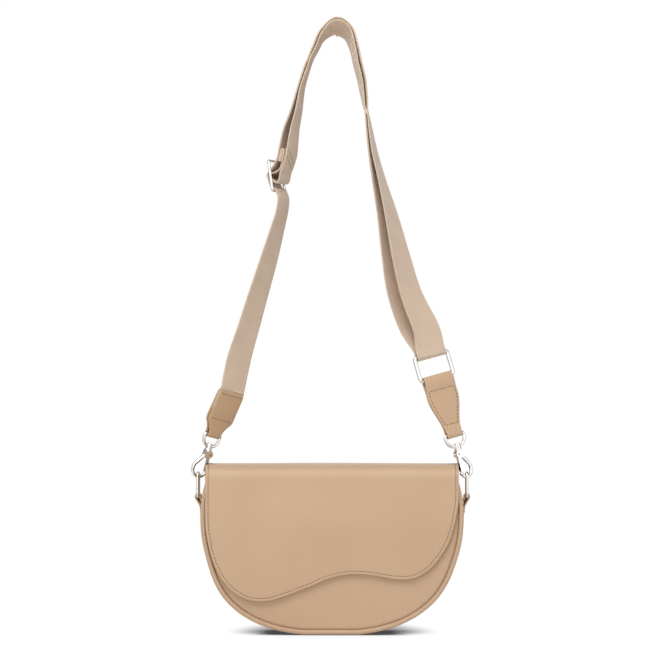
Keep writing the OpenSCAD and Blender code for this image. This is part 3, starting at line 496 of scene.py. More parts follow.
def body_outline():
    """The whole outline from the mouth's left end, round the base, to its right end."""
    angles = np.linspace(start_angle, math.pi / 2, BASE_POINTS)
    low = np.stack([BODY_W / 2 * np.sin(angles) ** (2 / SQUARENESS),
                    WIDEST_Z * (1 - np.cos(angles) ** (2 / SQUARENESS) / flat_share)], axis=1)
    low[:, 0] -= slack(low[:, 1])
    z = np.linspace(WIDEST_Z, MOUTH_Z, SIDE_POINTS)[1:]
    right = np.concatenate([[[0, 0]], low, np.stack([half_width(z), z], axis=1)])
    left = right[:0:-1] * [-1, 1]
    whole = np.concatenate([left, right])
    whole[:, 0] -= LEAN * smooth(1 - whole[:, 1] / LEAN_TOP)
    return resample(whole)


outline = body_outline()
print("outline", len(outline), "points, width", round(float(np.ptp(outline[:, 0])), 4))

# %% [markdown]
# Panels that follow the outline are made of rings: true offsets of it close to the edge, where
# seams and stitches run, and then rows that fan out to the straight top. A plain grid would cut
# the curved edge into steps, while rings keep a seam crisp with few points.

# %% Rings inside the outline
PILLOW = 2.5


def inward(points):
    """Unit vectors square to an open outline, towards its inside; level at both ends."""
    tangent = unit_rows(np.gradient(points, axis=0))
    normal = np.stack([-tangent[:, 1], tangent[:, 0]], axis=1)
    normal[0], normal[-1] = [1, 0], [-1, 0]
    return normal


def inset(points, distance):
    return points + distance * inward(points)


def bulge(x, z, top):
    across = np.clip(np.abs(x) / half_width(z), 0, 1)
    up = np.clip(np.abs(2 * z / top - 1), 0, 1)
    return (1 - across**PILLOW) * (1 - up**PILLOW)


def ringed_plane(outline, insets, rows):
    """Rings at the given insets, then rows that fan out from the last ring to the top line."""
    rings = [inset(outline, d) for d in insets]
    last = rings[-1]
    top = np.stack([np.linspace(last[0][0], last[-1][0], len(last)),
                    np.full(len(last), last[0][1])], axis=1)
    rings += [last + (top - last) * k / rows for k in range(1, rows + 1)]
    return np.array(rings)


print("rings of one seam have shape", ringed_plane(outline, [0, MM], 1).shape)

# %% [markdown]
# The front and back panels bulge by 3 mm over what the bag holds. At their edge they turn down
# into the seam, which draws the fine dark line inside the rolled rim together with painted shade
# along the panel's last millimetre. A simulation would bulge them too, but a formula leaves the
# seam exactly where the rim needs it.

# %% Panels
SEAM_DEPTH, PANEL_CROWN, PANEL_T, RIM_R, PLY = (v * MM for v in (56.8, 3.1, 1.6, 2.6, 0.2))
PANEL_TUCK, DIP, DIP_REACH, SEAM_LINE = (v * MM for v in (0.8, 1.7, 3.0, 1.1))
PANEL_RINGS = [d * MM for d in (0, 0.3, 0.6, 0.9, 1.2, 1.8, 2.5, 3.2, 4.5, 6.5, 9)]
PANEL_ROWS = 34
panel_edge = 2 * RIM_R - PANEL_TUCK
panel_y = SEAM_DEPTH / 2


def panel_piece(name, side):
    rings = ringed_plane(inset(outline, panel_edge), PANEL_RINGS, PANEL_ROWS)
    x, z = rings[..., 0], rings[..., 1]
    depth, crease = np.zeros(x.shape), np.zeros(x.shape)
    for k, d in enumerate(PANEL_RINGS):
        depth[k] = DIP * max(0, 1 - d / DIP_REACH) ** 2
        # painted shade along the seam, darkest at the panel's edge, with some real creasing
        crease[k] = max(0, 1 - d / SEAM_LINE)
    y = panel_y + PANEL_CROWN * bulge(x, z, MOUTH_Z) - depth
    grid = np.stack([x, side * y, z, crease], axis=2)
    return leather_sheet(name, [grid], PANEL_T, LEATHER, flip=side > 0)


for side, word in FRONT_AND_BACK:
    settle(panel_piece(f"{word}_panel_leather", side), "leather", "bag", f"{word}_panel")

# %% [markdown]
# The rolled rim is the seam allowance of panel and gusset, turned and bound: a soft tube that
# runs from one end of the mouth to the other. A bevelled curve would give the tube too, but one
# lofted point by point knows its inner side, where the seam's dark line runs. That line is painted
# shade of the seam's valley, with some real darkening of the creased leather.

# %% Rims
RIM_SIDES = 18
SEAM_BURNISH_AND_SHADE, SEAM_ANGLE, SEAM_SPREAD = 0.75, 155, 26
rim_y = panel_y - PANEL_T / 2


def rim_piece(name, side):
    line = inset(outline, RIM_R)
    outward = -inward(line)
    rows, seam_burnish_and_shade = [], []
    for k in range(RIM_SIDES):
        angle = 2 * math.pi * k / RIM_SIDES
        # The rim's inner side, at the seam, is drawn darker: painted shade of the valley, with some real
        # creasing
        off_seam = abs(math.degrees(angle) - SEAM_ANGLE) / SEAM_SPREAD
        seam_burnish_and_shade.append(np.full(len(line), SEAM_BURNISH_AND_SHADE * max(0, 1 - off_seam)))
        place = line + RIM_R * math.cos(angle) * outward
        over = np.full(len(line), side * (rim_y + RIM_R * math.sin(angle)))
        rows.append(np.stack([place[:, 0], over, place[:, 1]], axis=1))
    count = len(line)
    faces = grid_faces(RIM_SIDES, count, wrap_rows=True)
    faces.append([k * count for k in range(RIM_SIDES)])
    faces.append([k * count + count - 1 for k in reversed(range(RIM_SIDES))])
    if side < 0:
        faces = [tuple(reversed(f)) for f in faces]
    return make_piece(name, np.array(rows).reshape(-1, 3), faces, LEATHER, crease=seam_burnish_and_shade)


for side, word in FRONT_AND_BACK:
    settle(rim_piece(f"{word}_rim_leather", side), "leather", "bag", f"{word}_rim")

# %% [markdown]
# The gusset is one long strip. Near the mouth a real one folds inwards on both sides of the
# ring's tab, because the mouth is pulled together when the bag hangs, so its top has two soft
# creases. A simulation would find such folds by itself, but not twice the same; here a bell
# curve across the strip grows with the height. The folds and the strip's edges at the rim are
# drawn darker with painted shade.

# %% Gusset
GUSSET_T, GUSSET_DRAW, EDGE_TURN = (v * MM for v in (1.8, 4.5, 1.2))
GUSSET_COLS, EDGE_COLS, EDGE_POWER = 57, 12, 6
FOLD_SHADE, FOLD_POWER, RIM_SHARE = 0.6, 1.5, 0.6
gusset_y = rim_y - RIM_R * RIM_SHARE
CREASE, CREASE_AT, CREASE_W, CREASE_FROM = 3.4 * MM, 0.68, 0.13, 85 * MM


def draw_in(z):
    return GUSSET_DRAW * (np.clip(z - WIDEST_Z / 2, 0, None) / (MOUTH_Z - WIDEST_Z / 2)) ** 2


def pinch(share):
    return np.exp(-(((np.abs(share) - CREASE_AT) / CREASE_W) ** 2))


def gusset_piece():
    across = np.linspace(-1, 1, GUSSET_COLS)
    edge = EDGE_TURN * np.abs(across) ** EDGE_POWER
    folds = pinch(across)
    rows = []
    for place, normal in zip(outline, inward(outline)):
        fold = np.clip((place[1] - CREASE_FROM) / (MOUTH_Z - CREASE_FROM), 0, 1) ** FOLD_POWER
        x = place[0] + (CREASE * fold * folds + edge) * normal[0] - np.sign(place[0]) * draw_in(place[1])
        z = place[1] + edge * normal[1]
        # Both edges, in the seam's valley, and the two folds are drawn darker: painted shade
        seam = np.clip(1 - (1 - np.abs(across)) * EDGE_COLS, 0, 1)
        crease = np.maximum(fold * folds * FOLD_SHADE, seam)
        rows.append(np.stack([x, across * gusset_y, z, crease], axis=1))
    return leather_sheet("gusset_leather", [np.array(rows)], GUSSET_T, LEATHER)


settle(gusset_piece(), "leather", "bag", "gusset")

# %% [markdown]
# The lining is an open bag of thin twill. It hangs a little inside the leather and is sewn to it
# at the mouth, where it flares out to meet it. It shows when the flap is lifted. A smaller copy
# of the body would be quicker, but it would close the mouth, so it is made as its real cut has
# it, in three sheets: front, back and gusset.

# %% Lining
LINING_GAP, LINING_T, LINING_SEAM, LINING_RING = (v * MM for v in (2.4, 0.8, 2, 5))
LINING_ROWS, LINING_COLS, LINING_CROWN = 16, 41, 0.8 * PANEL_CROWN
FLARE_H, FLARE_SIDE, FLARE_FACE = (v * MM for v in (14, 6.2, 2.1))
lining_edge = inset(outline, panel_edge + LINING_GAP + LINING_SEAM)
lining_y = panel_y - LINING_GAP - PANEL_T


def drawn(points):
    x, z = points[..., 0], points[..., 1]
    return np.stack([x - draw_in(z) * x / half_width(z), z], axis=-1)


def flare(z):
    return smooth((z - MOUTH_Z + FLARE_H) / FLARE_H)


def band_of(*parts):
    return np.stack(np.broadcast_arrays(*parts), axis=-1).reshape(-1, 3)


def lining_face(name, side):
    flat = drawn(ringed_plane(lining_edge, [0, LINING_SEAM, LINING_RING], LINING_ROWS))
    x, z = flat[..., 0], flat[..., 1]
    y = lining_y + LINING_CROWN * bulge(x, z, MOUTH_Z) + FLARE_FACE * flare(z)
    x = x * (1 + FLARE_SIDE * flare(z) / half_width(z))
    grid = np.stack([x, side * y, z, 0 * y], axis=2)
    return leather_sheet(name, [grid], LINING_T, LINING, flip=side > 0, band=band_of(x, z, 0.0))


def lining_gusset(name):
    side_line = drawn(lining_edge)
    across = np.linspace(-1, 1, LINING_COLS)
    rows = []
    for x, z in side_line:
        y = across * (lining_y + FLARE_FACE * flare(z))
        out = flare(z) * (FLARE_SIDE - CREASE * pinch(y / gusset_y))
        rows.append(np.stack([x + np.sign(x) * out, y, np.full_like(y, z), 0 * y], axis=1))
    band = band_of(lining_y * across[None, :], lengths_along(side_line)[:, None], 0.0)
    return leather_sheet(name, [np.array(rows)], LINING_T, LINING, band=band)


for side, word in FRONT_AND_BACK:
    settle(lining_face(f"lining_{word}", side), "lining_fabric", "bag")
settle(lining_gusset("lining_gusset"), "lining_fabric", "bag", "lining")

# %% [markdown]
# The flap is one piece of leather: sewn to the back panel, folded over the top, and folded down
# over the front to its wavy edge. The wave follows no formula, so it is a smooth curve through 19
# listed drops, one for every 10 degrees of the edge. All round, the edge is turned and stitched
# 3 mm in, so the margin stands up as a soft welt beside a narrow groove.

# %% The flap's edge
FLAP_W, NECK_W, FLAP_TOP, FLAP_DROP, HEM_DROP = (v * MM for v in (249, 235, 166.5, 134.4, 30))
FRONT_R, BACK_R, FLAP_CROWN, FLAP_T, FACING_T, TOP_DOME = (v * MM for v in (14, 12, 2.4, 1.4, 0.9, 1))
CROWN_REACH, CALM_Z, CALM_SHARE = 50 * MM, 60 * MM, 0.5
WAVE_EVERY, WAVE_POINTS = 10, 721
flap_y = rim_y + RIM_R + 2 * PLY + FLAP_T + FACING_T + PLY / 2
WAVE_SHARES = [0.404, 0.537, 0.705, 0.838, 0.934, 0.988, 0.991, 0.947, 0.886, 0.820,
               0.795, 0.807, 0.831, 0.825, 0.763, 0.653, 0.522, 0.350, 0.242]
# How far the skin stands proud at each distance from its edge, in millimetres, and how much darker it is
# drawn there: painted shade in the groove
WELT = [(0, -0.6, 0), (0.25, -0.2, 0), (0.6, 0.02, 0), (1.1, 0.15, 0), (1.7, 0.19, 0), (2.3, 0.12, 0),
        (2.7, -0.08, 0.04), (3.05, -0.26, 0.1), (3.4, -0.12, 0.04), (3.8, 0, 0), (5, 0.03, 0), (8, 0, 0)]
STITCH_IN = 3.05 * MM
front_centre = (-(flap_y - FRONT_R), FLAP_TOP - FRONT_R)
back_centre = (flap_y - BACK_R, FLAP_TOP - BACK_R)
cut_y = (front_centre[0] + back_centre[0]) / 2


def catmull(rows, s):
    """A smooth curve through rows of numbers; s counts rows."""
    rows = np.asarray(rows, dtype=float)
    last = len(rows) - 1
    i = np.clip(np.floor(s).astype(int), 0, last - 1)
    f = (s - i)[(...,) + (None,) * (rows.ndim - 1)]
    a, b, c, d = (rows[np.clip(i + k, 0, last)] for k in (-1, 0, 1, 2))
    return 0.5 * (2 * b + (c - a) * f + (2 * a - 5 * b + 4 * c - d) * f**2
                  + (3 * b - a - 3 * c + d) * f**3)


def smooth_curve(rows, steps):
    """The same curve with a number of equal steps between its rows."""
    return catmull(rows, np.arange(0, len(rows) - 1 + 1e-9, 1 / steps))


def flap_outline():
    angles = np.linspace(-90, 90, WAVE_POINTS)
    wave = np.stack([FLAP_W / 2 * np.sin(np.radians(angles)),
                     FLAP_TOP - FLAP_DROP * catmull(WAVE_SHARES, (angles + 90) / WAVE_EVERY)], axis=1)
    top = front_centre[1]
    return resample(np.concatenate([[[-FLAP_W / 2, top]], wave, [[FLAP_W / 2, top]]]))


def flap_crown(x, z):
    """The front bulges over what the bag holds, and less so where its edge lies on the panel."""
    across = 1 - np.clip(np.abs(x) / half_width(z), 0, 1) ** PILLOW
    down = smooth((front_centre[1] - z) / CROWN_REACH)
    return FLAP_CROWN * across * down * (1 - CALM_SHARE * smooth((CALM_Z - z) / CALM_Z))


wavy = flap_outline()
print("flap's edge", round(float(lengths_along(wavy)[-1]), 3), "m long")

# %% [markdown]
# The flap opens at two folds, and a blend bends across only one joint. The flap opens at two
# folds, so the skin is made in two pieces that meet on the flat top, between the folds, where
# nothing bends. The leather draws in over the top, and each fold is an arc of places with their
# outward directions.

# %% The way over the folds
FRONT_STEPS, TOP_STEPS, BACK_STEPS = 15, 9, 13


def neck(y):
    return NECK_W / 2 + (FLAP_W - NECK_W) / 2 * np.minimum(np.abs(y / front_centre[0]), 1) ** 3


def arc(centre, side, radius, angles):
    """Places on a fold and their outward directions; the angle is measured from straight up."""
    radians = np.radians(angles)
    out = np.stack([side * np.sin(radians), np.cos(radians)], axis=1)
    return np.array(centre) + radius * out, out


def top_path(start_y, end_y):
    places = np.array([[y, FLAP_TOP] for y in np.linspace(start_y, end_y, TOP_STEPS)])
    return places, np.tile([0.0, 1.0], (TOP_STEPS, 1))


def front_way():
    fold, out = arc(front_centre, -1, FRONT_R, np.linspace(90, 0, FRONT_STEPS))
    flat, up = top_path(front_centre[0], cut_y)
    return np.concatenate([fold, flat[1:]]), np.concatenate([out, up[1:]])


def back_way(heights):
    """From the cut over the back fold, and down the hem through the given heights."""
    flat, up = top_path(cut_y, back_centre[0])
    fold, out = arc(back_centre, 1, BACK_R, np.linspace(0, 90, BACK_STEPS))
    hem = np.array([[flap_y, z] for z in heights])
    level = np.tile([1.0, 0.0], (len(hem), 1))
    return np.concatenate([flat, fold[1:], hem]), np.concatenate([up, out[1:], level])


print("way over the front fold", round(float(lengths_along(front_way()[0])[-1]), 4), "m")

# %% [markdown]
# The flap's margin, its welt and groove, is a table of rings from the edge inwards. Over the
# folds the same rings run on as columns, so that welt and groove go round the whole flap without
# a break, as one turned edge does.

# %% Margins over the folds
def over_grid(places, outs, margin, count, depth):
    """Columns that carry the margins and the middle over a path of places (y, z)."""
    insets, lifts, groove_shade = margin
    crease = np.concatenate([groove_shade[:-1], np.zeros(count), groove_shade[:-1][::-1]])
    rows = []
    for (y, z), out in zip(places, outs):
        half = neck(y)
        x = np.concatenate([-(half - insets[:-1]), np.linspace(-1, 1, count) * (half - insets[-1]),
                            (half - insets[:-1])[::-1]])
        proud = np.concatenate([lifts[:-1], np.full(count, lifts[-1]), lifts[:-1][::-1]]) - depth
        flat_top = front_centre[0] <= y <= back_centre[0]
        along_top = (y - front_centre[0]) / (back_centre[0] - front_centre[0])
        dome = TOP_DOME * math.sin(math.pi * along_top) * (1 - (x / half) ** 2) if flat_top else 0
        rows.append(np.stack([x, y + proud * out[0], z + proud * out[1] + dome, crease], axis=1))
    return np.array(rows)


def flap_margin(edge):
    """Rings for a skin that starts edge inside the flap's own edge."""
    table = np.array(WELT) * [MM, MM, 1]
    return table[table[:, 0] >= edge].T


print("rings of the welt", len(flap_margin(0)[0]))

# %% [markdown]
# The front is made of rings that follow the wavy edge, and they meet the columns at the fold's
# start. The back goes over its own fold and down the hem. The facing, the thin leather behind the
# flap, is the same sheet again, smaller and deeper.

# %% The flap's skins
FLAP_ROWS, HEM_ROWS, HEM_REACH, FACING_IN = 40, 10, 15 * MM, 1.2 * MM


def front_skin(name, edge, depth, thickness, material):
    insets, lifts, groove_shade = margin = flap_margin(edge)
    rings = ringed_plane(wavy, insets, FLAP_ROWS)
    x, z = rings[..., 0], rings[..., 1]
    proud, crease = np.full(x.shape, -float(depth)), np.zeros(x.shape)
    proud[: len(lifts)] += lifts[:, None]
    crease[: len(groove_shade)] = groove_shade[:, None]
    low = np.stack([x, -(flap_y + flap_crown(x, z) + proud), z, crease], axis=2)
    high = over_grid(*front_way(), margin, len(wavy), depth)
    return leather_sheet(name, [low, high], thickness, material)


def back_skin(name, edge, depth, thickness, material):
    insets, lifts, groove_shade = margin = flap_margin(edge)
    down = back_centre[1] - HEM_DROP
    heights = np.concatenate([np.linspace(back_centre[1], down + insets[-1], HEM_ROWS)[1:],
                              down + insets[:-1][::-1]])
    grid = over_grid(*back_way(heights), margin, len(wavy) // 2, depth)
    above = np.zeros(len(grid) - len(lifts) + 1)
    grid[:, :, 1] += np.concatenate([above, lifts[:-1][::-1]])[:, None]
    grid[:, :, 3] = np.maximum(grid[:, :, 3], np.concatenate([above, groove_shade[:-1][::-1]])[:, None])
    crown = FLAP_CROWN * bulge(grid[..., 0], grid[..., 2], FLAP_TOP)
    grid[:, :, 1] += np.where(grid[..., 2] < back_centre[1],
                              crown * smooth((back_centre[1] - grid[..., 2]) / HEM_REACH), 0)
    return leather_sheet(name, [grid], thickness, material)


print("rings of the facing's margin", len(flap_margin(FACING_IN)[0]))

# %% [markdown]
# The skins are one piece of leather each. Each keeps the place where it was made, and the
# plain solids that it stands for are hidden.

# %% The flap's two folds
FRONT_FOLD = "flap_crown", "flap", (0, front_centre[0], FLAP_TOP), (0, -flap_y, front_centre[1])
BACK_FOLD = "bag", "flap_crown", (0, flap_y, back_centre[1]), (0, back_centre[0], FLAP_TOP)


def bend(piece, fold, slot, *replaced):
    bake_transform(piece)
    if replaced:
        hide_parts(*replaced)


skin, facing = (0, 0, FLAP_T, LEATHER), (FACING_IN, FLAP_T + PLY / 2, FACING_T, FACING)
bend(front_skin("flap_front_leather", *skin), FRONT_FOLD, "leather", "flap_front", "flap_top")
bend(back_skin("flap_back_leather", *skin), BACK_FOLD, "leather", "flap_hem")
bend(front_skin("flap_front_facing", *facing), FRONT_FOLD, "facing_leather", "flap_facing")
bend(back_skin("flap_back_facing", *facing), BACK_FOLD, "facing_leather")

# %% [markdown]
# The strap, the tabs and the loops round the rings are bands: a centre line, a width direction
# at each station, and a section with soft edges. A curve with a bevel would twist where it likes,
# so the band function lofts them with a given width direction. It also writes how far across
# and along each point lies into the band attribute, which the weave reads.

# %% Bands
EDGE_STEPS = 3


def circle_at(radius, angle):
    return radius * np.array([math.cos(math.radians(angle)), math.sin(math.radians(angle))])


def section(half, thickness, across):
    """Points round a band's section: across its width, and out from its middle plane."""
    r = thickness / 2
    flat = np.linspace(-1, 1, across) * (half - r)
    turn = np.linspace(-90, 90, EDGE_STEPS + 2)[1:-1]
    right = [(half - r + u, -v) for u, v in (circle_at(r, a) for a in turn)]
    top = [(u, r) for u in flat]
    bottom = [(u, -r) for u in flat[::-1]]
    left = [(-u, -v) for u, v in right]
    return np.array(top + right + bottom + left)


def band_frames(centres, widths_dir, closed=False):
    if closed:
        tangent = np.roll(centres, -1, axis=0) - np.roll(centres, 1, axis=0)
    else:
        tangent = np.gradient(centres, axis=0)
    tangent = unit_rows(tangent)
    side = unit_rows(widths_dir - np.sum(widths_dir * tangent, axis=1, keepdims=True) * tangent)
    return tangent, side, np.cross(tangent, side)


def band_piece(name, centres, widths_dir, half, thickness, material, across=13, closed=False):
    tangent, side, out = band_frames(centres, widths_dir, closed)
    half, thickness = (np.broadcast_to(v, len(centres)) for v in (half, thickness))
    along = lengths_along(centres)
    verts, coords = [], []
    for i, centre in enumerate(centres):
        ring = section(half[i], thickness[i], across)
        verts.append(centre + ring[:, :1] * side[i] + ring[:, 1:] * out[i])
        coords.append([(u, along[i], v) for u, v in ring])
    count = len(coords[0])
    faces = grid_faces(len(centres), count, wrap_rows=closed, wrap_cols=True)
    if not closed:
        faces += end_faces(len(centres), count)
    faces = [tuple(reversed(f)) for f in faces]
    return make_piece(name, np.array(verts).reshape(-1, 3), faces, material,
                      band=np.array(coords).reshape(-1, 3))


def joint_vectors(name):
    return np.array(joints[name]["pos_m"]), np.array(joints[name]["axis"])


print("points round a band's section", len(section(1, 0.1, 13)))

# %% [markdown]
# Each side tab is a strip that goes up from the gusset, round the ring's bar and back down. It
# is sewn flat below, so its two plies touch there, and it opens into a loop round the bar. A
# smooth curve through a few places gives the strip its way, and its ends are pared thin. A dark
# wedge fills the loop below the bar: painted shade for the loop's deep inside.

# %% Side tabs
TAB_T, SIDE_TAB_W, SIDE_TAB_DROP, LOOP = (v * MM for v in (1.6, 14.8, 22, 0.3))
RING_WIRE, CORE_IN, CORE_TOP, CORE_FOOT, SKIVED = (v * MM for v in (2.8, 0.5, 3.2, 0.3, 0.6))
LOOP_ANGLES, TAB_STEPS, CORE_STEPS = np.linspace(210, -30, 15), 4, 6


def on_gusset(z, ply, thickness=TAB_T):
    """A place (x, z) in the middle of a side tab's ply, counted outwards from the gusset."""
    return [float(half_width(z) - draw_in(z)) + PLY + (ply + 0.5) * thickness, z]


def side_band(name, side, path, half, thickness, material):
    centres = np.stack([side * path[:, 0], np.zeros(len(path)), path[:, 1]], axis=1)
    return band_piece(name, centres, [0.0, 1.0, 0.0], half, thickness, material)


def side_tab_piece(name, side, bar):
    x_bar, z_bar = abs(bar[0]), bar[2]
    r = RING_WIRE / 2 + LOOP + TAB_T / 2
    low, mid = z_bar - SIDE_TAB_DROP, z_bar - SIDE_TAB_DROP / 2
    path = [on_gusset(low, 0, SKIVED), on_gusset(mid, 0), on_gusset(z_bar - SIDE_TAB_DROP / 3, 0)]
    path += [[x_bar, z_bar] + circle_at(r, a) for a in LOOP_ANGLES]
    path += [on_gusset(mid, 1), on_gusset(low, 1, SKIVED)]
    path = smooth_curve(path, TAB_STEPS)
    thickness = SKIVED + (TAB_T - SKIVED) * smooth((path[:, 1] - low) / (mid - low))
    return side_band(name, side, path, SIDE_TAB_W / 2, thickness, LEATHER)


def side_tab_core(name, side, bar):
    top = [abs(bar[0]) - CORE_IN, bar[2] - RING_WIRE / 2 - LOOP]
    foot = np.array(on_gusset(bar[2] - SIDE_TAB_DROP / 2, 0.5))
    share = np.linspace(0, 1, CORE_STEPS)[:, None]
    wedge = CORE_TOP + (CORE_FOOT - CORE_TOP) * share[:, 0]
    # a dark brown wedge: painted shade inside the loop
    return side_band(name, side, top + (foot - top) * share, SIDE_TAB_W / 2 - MM, wedge, PAINTED_SHADE_LEATHER)


for side, word in LEFT_AND_RIGHT:
    bar = joint_vectors(f"{word}_ring_pivot")[0]
    piece = side_tab_piece(f"{word}_side_tab_leather", side, bar)
    settle(piece, "leather", "bag", f"{word}_side_tab")
    settle(side_tab_core(f"{word}_side_tab_core", side, bar), "leather", "bag")

# %% [markdown]
# The strap's leather tabs are folded strips, cut to a waist where they meet the narrow hook eye.
# The left one takes the webbing between its plies, the right one goes round two bars and closes
# on itself. Both are worked out from the joints' places, because a bar is where its joint turns:
# each tab has a plane of its own, and its strip is first drawn in that plane.

# %% Planes of the strap tabs
STRAP_W, STRAP_T, TAB_MARGIN, EYE_WIRE, LINK_WIRE = (v * MM for v in (32, 1.6, 1, 3, 3.8))
LEFT_TAB_L, LEFT_TAB_LEAN = 47 * MM, 24.1
# A ply comes in from the eye and goes out to the upper bar over these heights; its end is pared
EYE_TAPER, LINK_TAPER_AT, LINK_TAPER, PARED = (v * MM for v in (11, 15, 13, 5))
left_eye, left_bar = joint_vectors("left_eye_rock")
right_eye, right_bar = joint_vectors("right_eye_rock")
link_low = joint_vectors("right_tab_tilt")[0]
link_high = joint_vectors("rect_ring_tilt")[0]
lean = math.tan(math.radians(LEFT_TAB_LEAN))
left_up = unit_rows(np.array([lean, -(lean * left_bar[0] + left_bar[2]) / left_bar[1], 1]))
right_up = unit_rows(link_low - right_eye)
RIGHT_TAB_L = float(np.linalg.norm(link_low - right_eye))
tab_w = STRAP_W + 2 * TAB_MARGIN
eye_r = EYE_WIRE / 2 + LOOP + TAB_T / 2
link_r = LINK_WIRE / 2 + LOOP + TAB_T / 2
# Each tab's half width as a share of its full width, at a share of its height
LEFT_TAB_SHARES = [(0.25, -0.1), (0.25, 0.04), (0.27, 0.1), (0.35, 0.2), (0.455, 0.29), (0.483, 0.34),
                   (0.487, 0.4), (0.477, 0.9), (0.465, 1)]
RIGHT_TAB_SHARES = [(0.25, -0.1), (0.25, 0.04), (0.265, 0.12), (0.3, 0.22), (0.36, 0.34), (0.44, 0.48),
                    (0.49, 0.6), (0.5, 0.68), (0.48, 0.97), (0.46, 1.1)]
# The left tab's plies lie on the webbing, and the right tab's leave half a thickness between them
left_seat, right_seat = STRAP_T / 2 + PLY + TAB_T / 2, 0.75 * TAB_T
left_tab = left_eye, left_bar, left_up, LEFT_TAB_L, LEFT_TAB_SHARES, left_seat, left_seat
right_tab = right_eye, right_bar, right_up, RIGHT_TAB_L, RIGHT_TAB_SHARES, right_seat, link_r
print("right tab", round(RIGHT_TAB_L, 4), "m between its bars")

# %% [markdown]
# A tab's strip goes round the eye's bar, up one side and down the other, and its plies lie close
# together between the bars. The seat is how far a ply's middle lies from the tab's own plane.

# %% Strips of the strap tabs
FOOT_STEPS, LINK_STEPS, PLY_STEPS = 13, 15, 40


def tab_half(shares, length, z):
    reach, height = zip(*shares)
    return np.interp(z / length, height, reach) * tab_w


def ply_at(z, length, seat, top):
    """How far a ply lies from the tab's middle plane at height z: wide at its bars only."""
    low = smooth(1 - z / EYE_TAPER)
    high = smooth((z - length + LINK_TAPER_AT) / LINK_TAPER)
    return seat + (eye_r - seat) * low + (top - seat) * high


def ply_thickness(z, length, closed):
    """An open tab's ends are pared thin, so that they don't stand up from the webbing."""
    return TAB_T if closed else TAB_T - (TAB_T - SKIVED) * smooth((z - length + PARED) / PARED)


def tab_path(length, seat, top, closed):
    """The strip's way in the tab's own plane: places (out, up)."""
    heights = np.linspace(0, length, PLY_STEPS)[1:-1 if closed else None]
    front = [(ply_at(z, length, seat, top) - (TAB_T - ply_thickness(z, length, closed)) / 2, z)
             for z in heights]
    foot = [circle_at(eye_r, a) for a in np.linspace(0, -180, FOOT_STEPS)]
    back = [(-out, z) for out, z in front]
    path = list(reversed(front)) + foot + back
    if closed:
        path += [[0, length] + circle_at(link_r, a) for a in np.linspace(180, 0, LINK_STEPS)]
    return np.array(path)


def strap_tab_piece(name, tab, closed, material):
    eye, bar, up, length, shares, seat, top = tab
    path = tab_path(length, seat, top, closed)
    centres = eye + path[:, :1] * np.cross(up, bar) + path[:, 1:] * up
    half = tab_half(shares, length, path[:, 1])
    thickness = [ply_thickness(z, length, closed) for z in path[:, 1]]
    return band_piece(name, centres, bar, half, thickness, material, closed=closed)


print("places along the right tab's strip", len(tab_path(RIGHT_TAB_L, right_seat, link_r, True)))

# %% [markdown]
# The left tab is open above and takes the webbing in, and a filler of scrap leather keeps its
# plies apart below the webbing's end. Both are drawn in a slightly darker copy of the leather:
# painted shade, since the tab leans away from the light. The right tab closes on itself and
# needs no filler.

# %% The strap tabs
FILLER_FROM, FILLER_SHORT, FILLER_IN, FILLER_STEPS = 12.5 * MM, 22.1 * MM, 2.2 * MM, 8
piece = strap_tab_piece("left_strap_tab_leather", left_tab, False, DARK_LEATHER)
settle(piece, "dark_leather", "strap", "left_strap_tab")
filler_z = np.linspace(FILLER_FROM, LEFT_TAB_L - FILLER_SHORT, FILLER_STEPS)
filler_half = tab_half(LEFT_TAB_SHARES, LEFT_TAB_L, filler_z) - FILLER_IN
piece = band_piece("left_strap_tab_filler", left_eye + filler_z[:, None] * left_up, left_bar,
                   filler_half, 2 * left_seat - TAB_T, DARK_LEATHER)
settle(piece, "dark_leather", "strap")
piece = strap_tab_piece("right_strap_tab_leather", right_tab, True, LEATHER)
settle(piece, "leather", "right_tab", "right_strap_tab")

# %% [markdown]
# The webbing is one length: sewn round the slider's middle bar, over the crown, round the
# rectangular ring, back over the crown, over the slider and down to the left tab. A simulated
# strap would find an arch of its own, so its centre line is a list of given stations, as shares
# of the way from the foot to the crown, and a smooth curve runs through them.

# %% The strap's legs
WEBBING_SEAT, SEAT_GAP, CROWN_X, CROWN_ABOVE = (v * MM for v in (22, 1, 3.4, 4))
hang = next(m for m in record["mounts"] if m["name"] == "strap_hang_point")
crown = np.array([CROWN_X, 0, hang["pos_m"][2] + CROWN_ABOVE])
left_tab_top = left_eye + LEFT_TAB_L * left_up
slider_mid = np.mean(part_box("slider"), axis=0) * [1, 0, 1]

# Shares of the way in x, y and z, the front edge's turn and rise in degrees, and how far the
# inner layer lies from the outer one in x, y and z, as shares of the webbing's width
RIGHT_LEG = [
    [0.046, 0.08, 0.078, 57, 0, -0.4, 0.28, 0],
    [0.204, 0.25, 0.184, 43, 0, -0.39, 0.28, 0],
    [0.313, 0.45, 0.3, 34, 0, -0.31, 0.23, 0],
    [0.407, 0.65, 0.416, 24, 0, -0.24, 0.12, 0],
    [0.513, 0.85, 0.531, 13, 0, -0.185, 0.05, 0],
    [0.593, 0.95, 0.621, 9, 0, -0.105, 0.02, 0],
    [0.655, 1, 0.724, 2, 0, -0.075, 0, 0],
    [0.677, 1, 0.772, -4, 0, -0.095, 0, 0],
    [0.706, 1, 0.833, -8, 0, -0.11, 0, 0],
    [0.753, 1, 0.887, -9, 0, -0.105, 0, -0.01],
    [0.79, 1, 0.932, -9, 6, -0.085, 0, -0.03],
    [0.859, 1, 0.979, -9, 18, -0.062, -0.01, -0.055],
    [1, 1, 1, -8, 27, 0, -0.045, -0.075],
]
